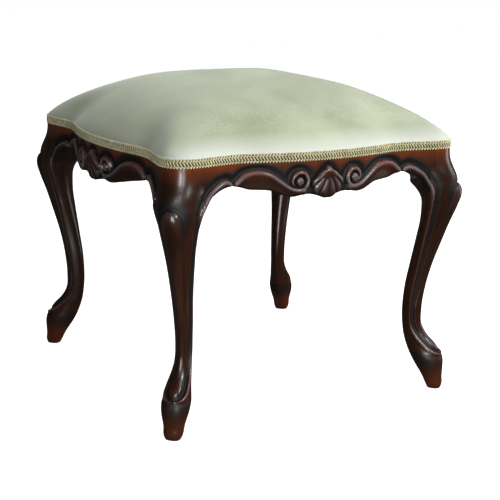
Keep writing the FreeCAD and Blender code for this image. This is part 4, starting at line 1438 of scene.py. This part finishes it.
def applied_nodes(name, line, tree, values):
    """Runs a node tree on a closed line of points and keeps the plain mesh that it makes."""
    count = len(line)
    source = bpy.data.meshes.new(name + "_line")
    source.from_pydata((line * MM).tolist(), [(i, (i + 1) % count) for i in range(count)], [])
    carrier = new_object(name + "_carrier", source)
    modifier = carrier.modifiers.new("rows", "NODES")
    modifier.node_group = tree
    for item in tree.interface.items_tree:
        if item.item_type == "SOCKET" and item.in_out == "INPUT" and item.name in values:
            modifier[item.identifier] = values[item.name]
    bpy.context.view_layer.update()
    graph = bpy.context.evaluated_depsgraph_get()
    mesh = bpy.data.meshes.new_from_object(carrier.evaluated_get(graph))
    carrier.modifiers.remove(modifier)
    bpy.data.objects.remove(carrier)
    mesh.name = name
    return mesh_piece(name, mesh)


def make_braid(band_material, strand_material):
    """The braid: a thin band with woven strands standing on it."""
    seat = bpy.context.scene.pouf_seat
    low = size("braid_foot")
    high = low + size("braid_height")
    line, out = seat_line(spacing=2.0)
    rings = np.array(rings_along(line, out, (
        (-1.4, low), (-0.5, low + 0.2), (-0.2, low + 1.0),
        (-0.2, high - 1.0), (-0.5, high - 0.2), (-1.4, high),
    )))
    rows, columns = rings.shape[:2]
    last = (rows - 1) * columns
    faces = skin(rows, columns)
    faces += [[last + i, last + (i + 1) % columns, (i + 1) % columns, i] for i in range(columns)]
    band = mesh_object("braid_band", rings.reshape(-1, 3), faces)
    finish_mesh(band, band_material)
    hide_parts("gimp_braid")
    path = at_height(seat_line(-STRAND_DEPTH)[0], (low + high) / 2)
    values = {"Pitch": seat.braid_pitch, "Strand Radius": seat.strand_radius, "Height": seat.braid_height}
    strands = applied_nodes("braid_strands", path, braid_tree(strand_material), values)
    finish_mesh(strands, strand_material)


class PoufOperator(Operator):
    """A step of the dressing"""
    bl_options = {"REGISTER", "UNDO"}


class POUF_OT_legs(PoufOperator):
    """Make the four carved legs"""
    bl_idname = "pouf.legs"
    bl_label = "Carved Legs"

    def execute(self, context):
        make_legs(bpy.data.materials.get("mahogany_polish") or mahogany())
        return {"FINISHED"}


class POUF_OT_aprons(PoufOperator):
    """Make the four carved aprons"""
    bl_idname = "pouf.aprons"
    bl_label = "Carved Aprons"

    def execute(self, context):
        material = bpy.data.materials.get("mahogany_polish") or mahogany()
        for quarter_turns, side in enumerate(("front", "right", "back", "left")):
            make_apron("apron_" + side, quarter_turns, material)
        return {"FINISHED"}


class POUF_OT_cushion(PoufOperator):
    """Make the crowned velvet seat"""
    bl_idname = "pouf.cushion"
    bl_label = "Velvet Seat"

    def execute(self, context):
        make_cushion(velvet())
        return {"FINISHED"}


class POUF_OT_braid(PoufOperator):
    """Make the braid round the seat"""
    bl_idname = "pouf.braid"
    bl_label = "Braid"

    def execute(self, context):
        tints = context.scene.pouf_colours
        make_braid(braid_yarn("braid_ground", tints.braid_gold, darker(tints.braid_gold, 0.4)),
                   braid_yarn("braid_strands", tints.braid_cream, tints.braid_gold))
        return {"FINISHED"}


class POUF_OT_fillings(PoufOperator):
    """Make the foam pad and the wadding"""
    bl_idname = "pouf.fillings"
    bl_label = "Foam and Wadding"

    def execute(self, context):
        make_fillings(plain("seat_foam", (0.78, 0.70, 0.44), 0.95, scale=400),
                      plain("white_wadding", (0.84, 0.83, 0.78), 1.0, scale=120))
        return {"FINISHED"}


class POUF_OT_webbing(PoufOperator):
    """Make the ten straps of webbing"""
    bl_idname = "pouf.webbing"
    bl_label = "Webbing"

    def execute(self, context):
        make_webbing(woven("jute_webbing", (0.42, 0.30, 0.15), (0.16, 0.10, 0.045), 420))
        return {"FINISHED"}


class POUF_OT_linings(PoufOperator):
    """Make the hessian and the dust cover"""
    bl_idname = "pouf.linings"
    bl_label = "Hessian and Dust Cover"

    def execute(self, context):
        make_linings(woven("hessian_cloth", (0.36, 0.25, 0.12), (0.10, 0.065, 0.03), 330),
                     woven("black_cloth", (0.018, 0.018, 0.019), (0.004, 0.004, 0.004), 900))
        return {"FINISHED"}


class POUF_OT_fittings(PoufOperator):
    """Finish the blocks, dowels, screws, tacks and staples"""
    bl_idname = "pouf.fittings"
    bl_label = "Blocks and Fixings"

    def execute(self, context):
        finishes = {
            "beech": beech(),
            "screw_steel": plain("zinc_plate", (0.60, 0.57, 0.48), 0.35, 1.0),
            "tack_steel": plain("blued_steel", (0.16, 0.17, 0.20), 0.4, 1.0),
        }
        for part in frame["record"]["subparts"]:
            finish = finishes.get(part["material_slot"])
            if finish:
                mesh = bpy.data.objects[part["node"]].data
                mesh.materials.clear()
                mesh.materials.append(finish)
        return {"FINISHED"}


class POUF_OT_stage(PoufOperator):
    """Make the floor, the lamps and the camera"""
    bl_idname = "pouf.stage"
    bl_label = "Floor, Lamps and Camera"

    def execute(self, context):
        make_stage()
        return {"FINISHED"}


# Stage

CAMERA_TARGET = (0.01977, -0.00467, 0.1920)
CAMERA_AZIMUTH = 29.88
CAMERA_ELEVATION = 14.352
CAMERA_ROLL = 1.276
CAMERA_DISTANCE = 1.93157
CAMERA_LENS = 85.53
FLOOR_REACH = 5.0
WORLD_STRENGTH = 0.085
WORLD_GLOSSY_STRENGTH = 0.05

# Lamps: name, place, width, height and power
LAMPS = (
    ("front_softbox", (0.9, -2.4, 1.9), 0.9, 0.6, 59),
    ("front_strip", (-0.58, -1.50, 0.55), 0.14, 1.2, 9),
    ("camera_strip", (-1.40, -2.10, 0.80), 0.24, 1.7, 50),
    ("high_softbox", (0.7, -1.6, 2.6), 1.2, 0.6, 14),
    ("right_strip", (1.30, -0.45, 0.60), 0.40, 1.2, 5),
    ("top_softbox", (0.9, 0.9, 2.9), 1.8, 1.8, 53),
    ("back_softbox", (1.2, 2.3, 1.3), 0.9, 0.9, 12),
)

# This lamp only makes a highlight on the polish, as a narrow window far away would
SHINE_ONLY = "camera_strip"


def make_camera():
    azimuth, elevation, roll = np.radians((CAMERA_AZIMUTH, CAMERA_ELEVATION, CAMERA_ROLL))
    back = Vector((-sin(azimuth) * cos(elevation), -cos(azimuth) * cos(elevation), sin(elevation)))
    right = (-back).cross(Vector((0, 0, 1))).normalized()
    up = right.cross(-back)
    right_rolled = right * cos(roll) + up * sin(roll)
    up_rolled = up * cos(roll) - right * sin(roll)
    axes = Matrix((right_rolled, up_rolled, back)).transposed()
    camera = new_object("camera", bpy.data.cameras.new("camera"))
    camera.matrix_world = Matrix.Translation(Vector(CAMERA_TARGET) + back * CAMERA_DISTANCE) @ axes.to_4x4()
    camera.data.lens = CAMERA_LENS
    camera.data.sensor_width = 36
    camera.data.clip_end = 50
    bpy.context.scene.camera = camera


def make_floor():
    mesh = bpy.data.meshes.new("floor")
    corners = [(x * FLOOR_REACH, y * FLOOR_REACH, 0) for x, y in ((-1, -1), (1, -1), (1, 1), (-1, 1))]
    mesh.from_pydata(corners, [], [(0, 1, 2, 3)])
    mesh.materials.append(pale_floor())
    floor = new_object("floor", mesh)
    floor.location.z = -0.0005
    floor.visible_glossy = False


def make_world():
    """A room that is white for the camera and dim for every other ray."""
    world = bpy.data.worlds.new("pale_room")
    bpy.context.scene.world = world
    world.use_nodes = True
    n = Nodes(world.node_tree)
    path = n.node("ShaderNodeLightPath").outputs
    strength = WORLD_STRENGTH
    for ray, own_strength in (("Is Glossy Ray", WORLD_GLOSSY_STRENGTH), ("Is Camera Ray", 1.0)):
        strength = n.node("ShaderNodeMix", Factor=path[ray], A=strength, B=own_strength).outputs["Result"]
    n.feed(n.tree.nodes["Background"], Color=(1, 1, 1, 1), Strength=strength)


def make_lamps():
    for name, place, width, height, power in LAMPS:
        light = bpy.data.lights.new(name, "AREA")
        light.energy = power
        light.shape = "RECTANGLE"
        light.size = width
        light.size_y = height
        lamp = new_object(name, light)
        lamp.location = place
        lamp.visible_diffuse = name != SHINE_ONLY
        aim = Vector((0, 0, 0.3)) - Vector(place)
        lamp.rotation_euler = aim.to_track_quat("-Z", "Y").to_euler()


def make_stage():
    make_camera()
    make_floor()
    make_world()
    make_lamps()
    bpy.context.scene.view_settings.view_transform = "Standard"


class POUF_PT_panel(Panel):
    """Lists the steps of the dressing"""
    bl_label = "Carved Pouf"
    bl_idname = "POUF_PT_panel"
    bl_space_type = "VIEW_3D"
    bl_region_type = "UI"
    bl_category = "Pouf"

    def draw(self, context):
        for step in STEPS:
            self.layout.operator(step.bl_idname)
        for name in SETTINGS:
            group = getattr(context.scene, name)
            for setting in group.bl_rna.properties:
                if setting.identifier not in ("rna_type", "name"):
                    self.layout.prop(group, setting.identifier)


SETTINGS = {
    "pouf_frame": PoufFrameSizes,
    "pouf_carving": PoufCarvingSizes,
    "pouf_seat": PoufSeatSizes,
    "pouf_colours": PoufColours,
}
STEPS = (
    POUF_OT_stage, POUF_OT_legs, POUF_OT_aprons, POUF_OT_cushion, POUF_OT_fillings, POUF_OT_braid,
    POUF_OT_webbing, POUF_OT_linings, POUF_OT_fittings,
)


def register():
    for item in (*SETTINGS.values(), *STEPS, POUF_PT_panel):
        bpy.utils.register_class(item)
    for name, group in SETTINGS.items():
        setattr(bpy.types.Scene, name, PointerProperty(type=group))


def unregister():
    for name in SETTINGS:
        delattr(bpy.types.Scene, name)
    for item in (POUF_PT_panel, *reversed(STEPS), *SETTINGS.values()):
        bpy.utils.unregister_class(item)


def main():
    register()
    for step in STEPS:
        area, name = step.bl_idname.split(".")
        getattr(getattr(bpy.ops, area), name)()


if __name__ == "__main__":
    main()
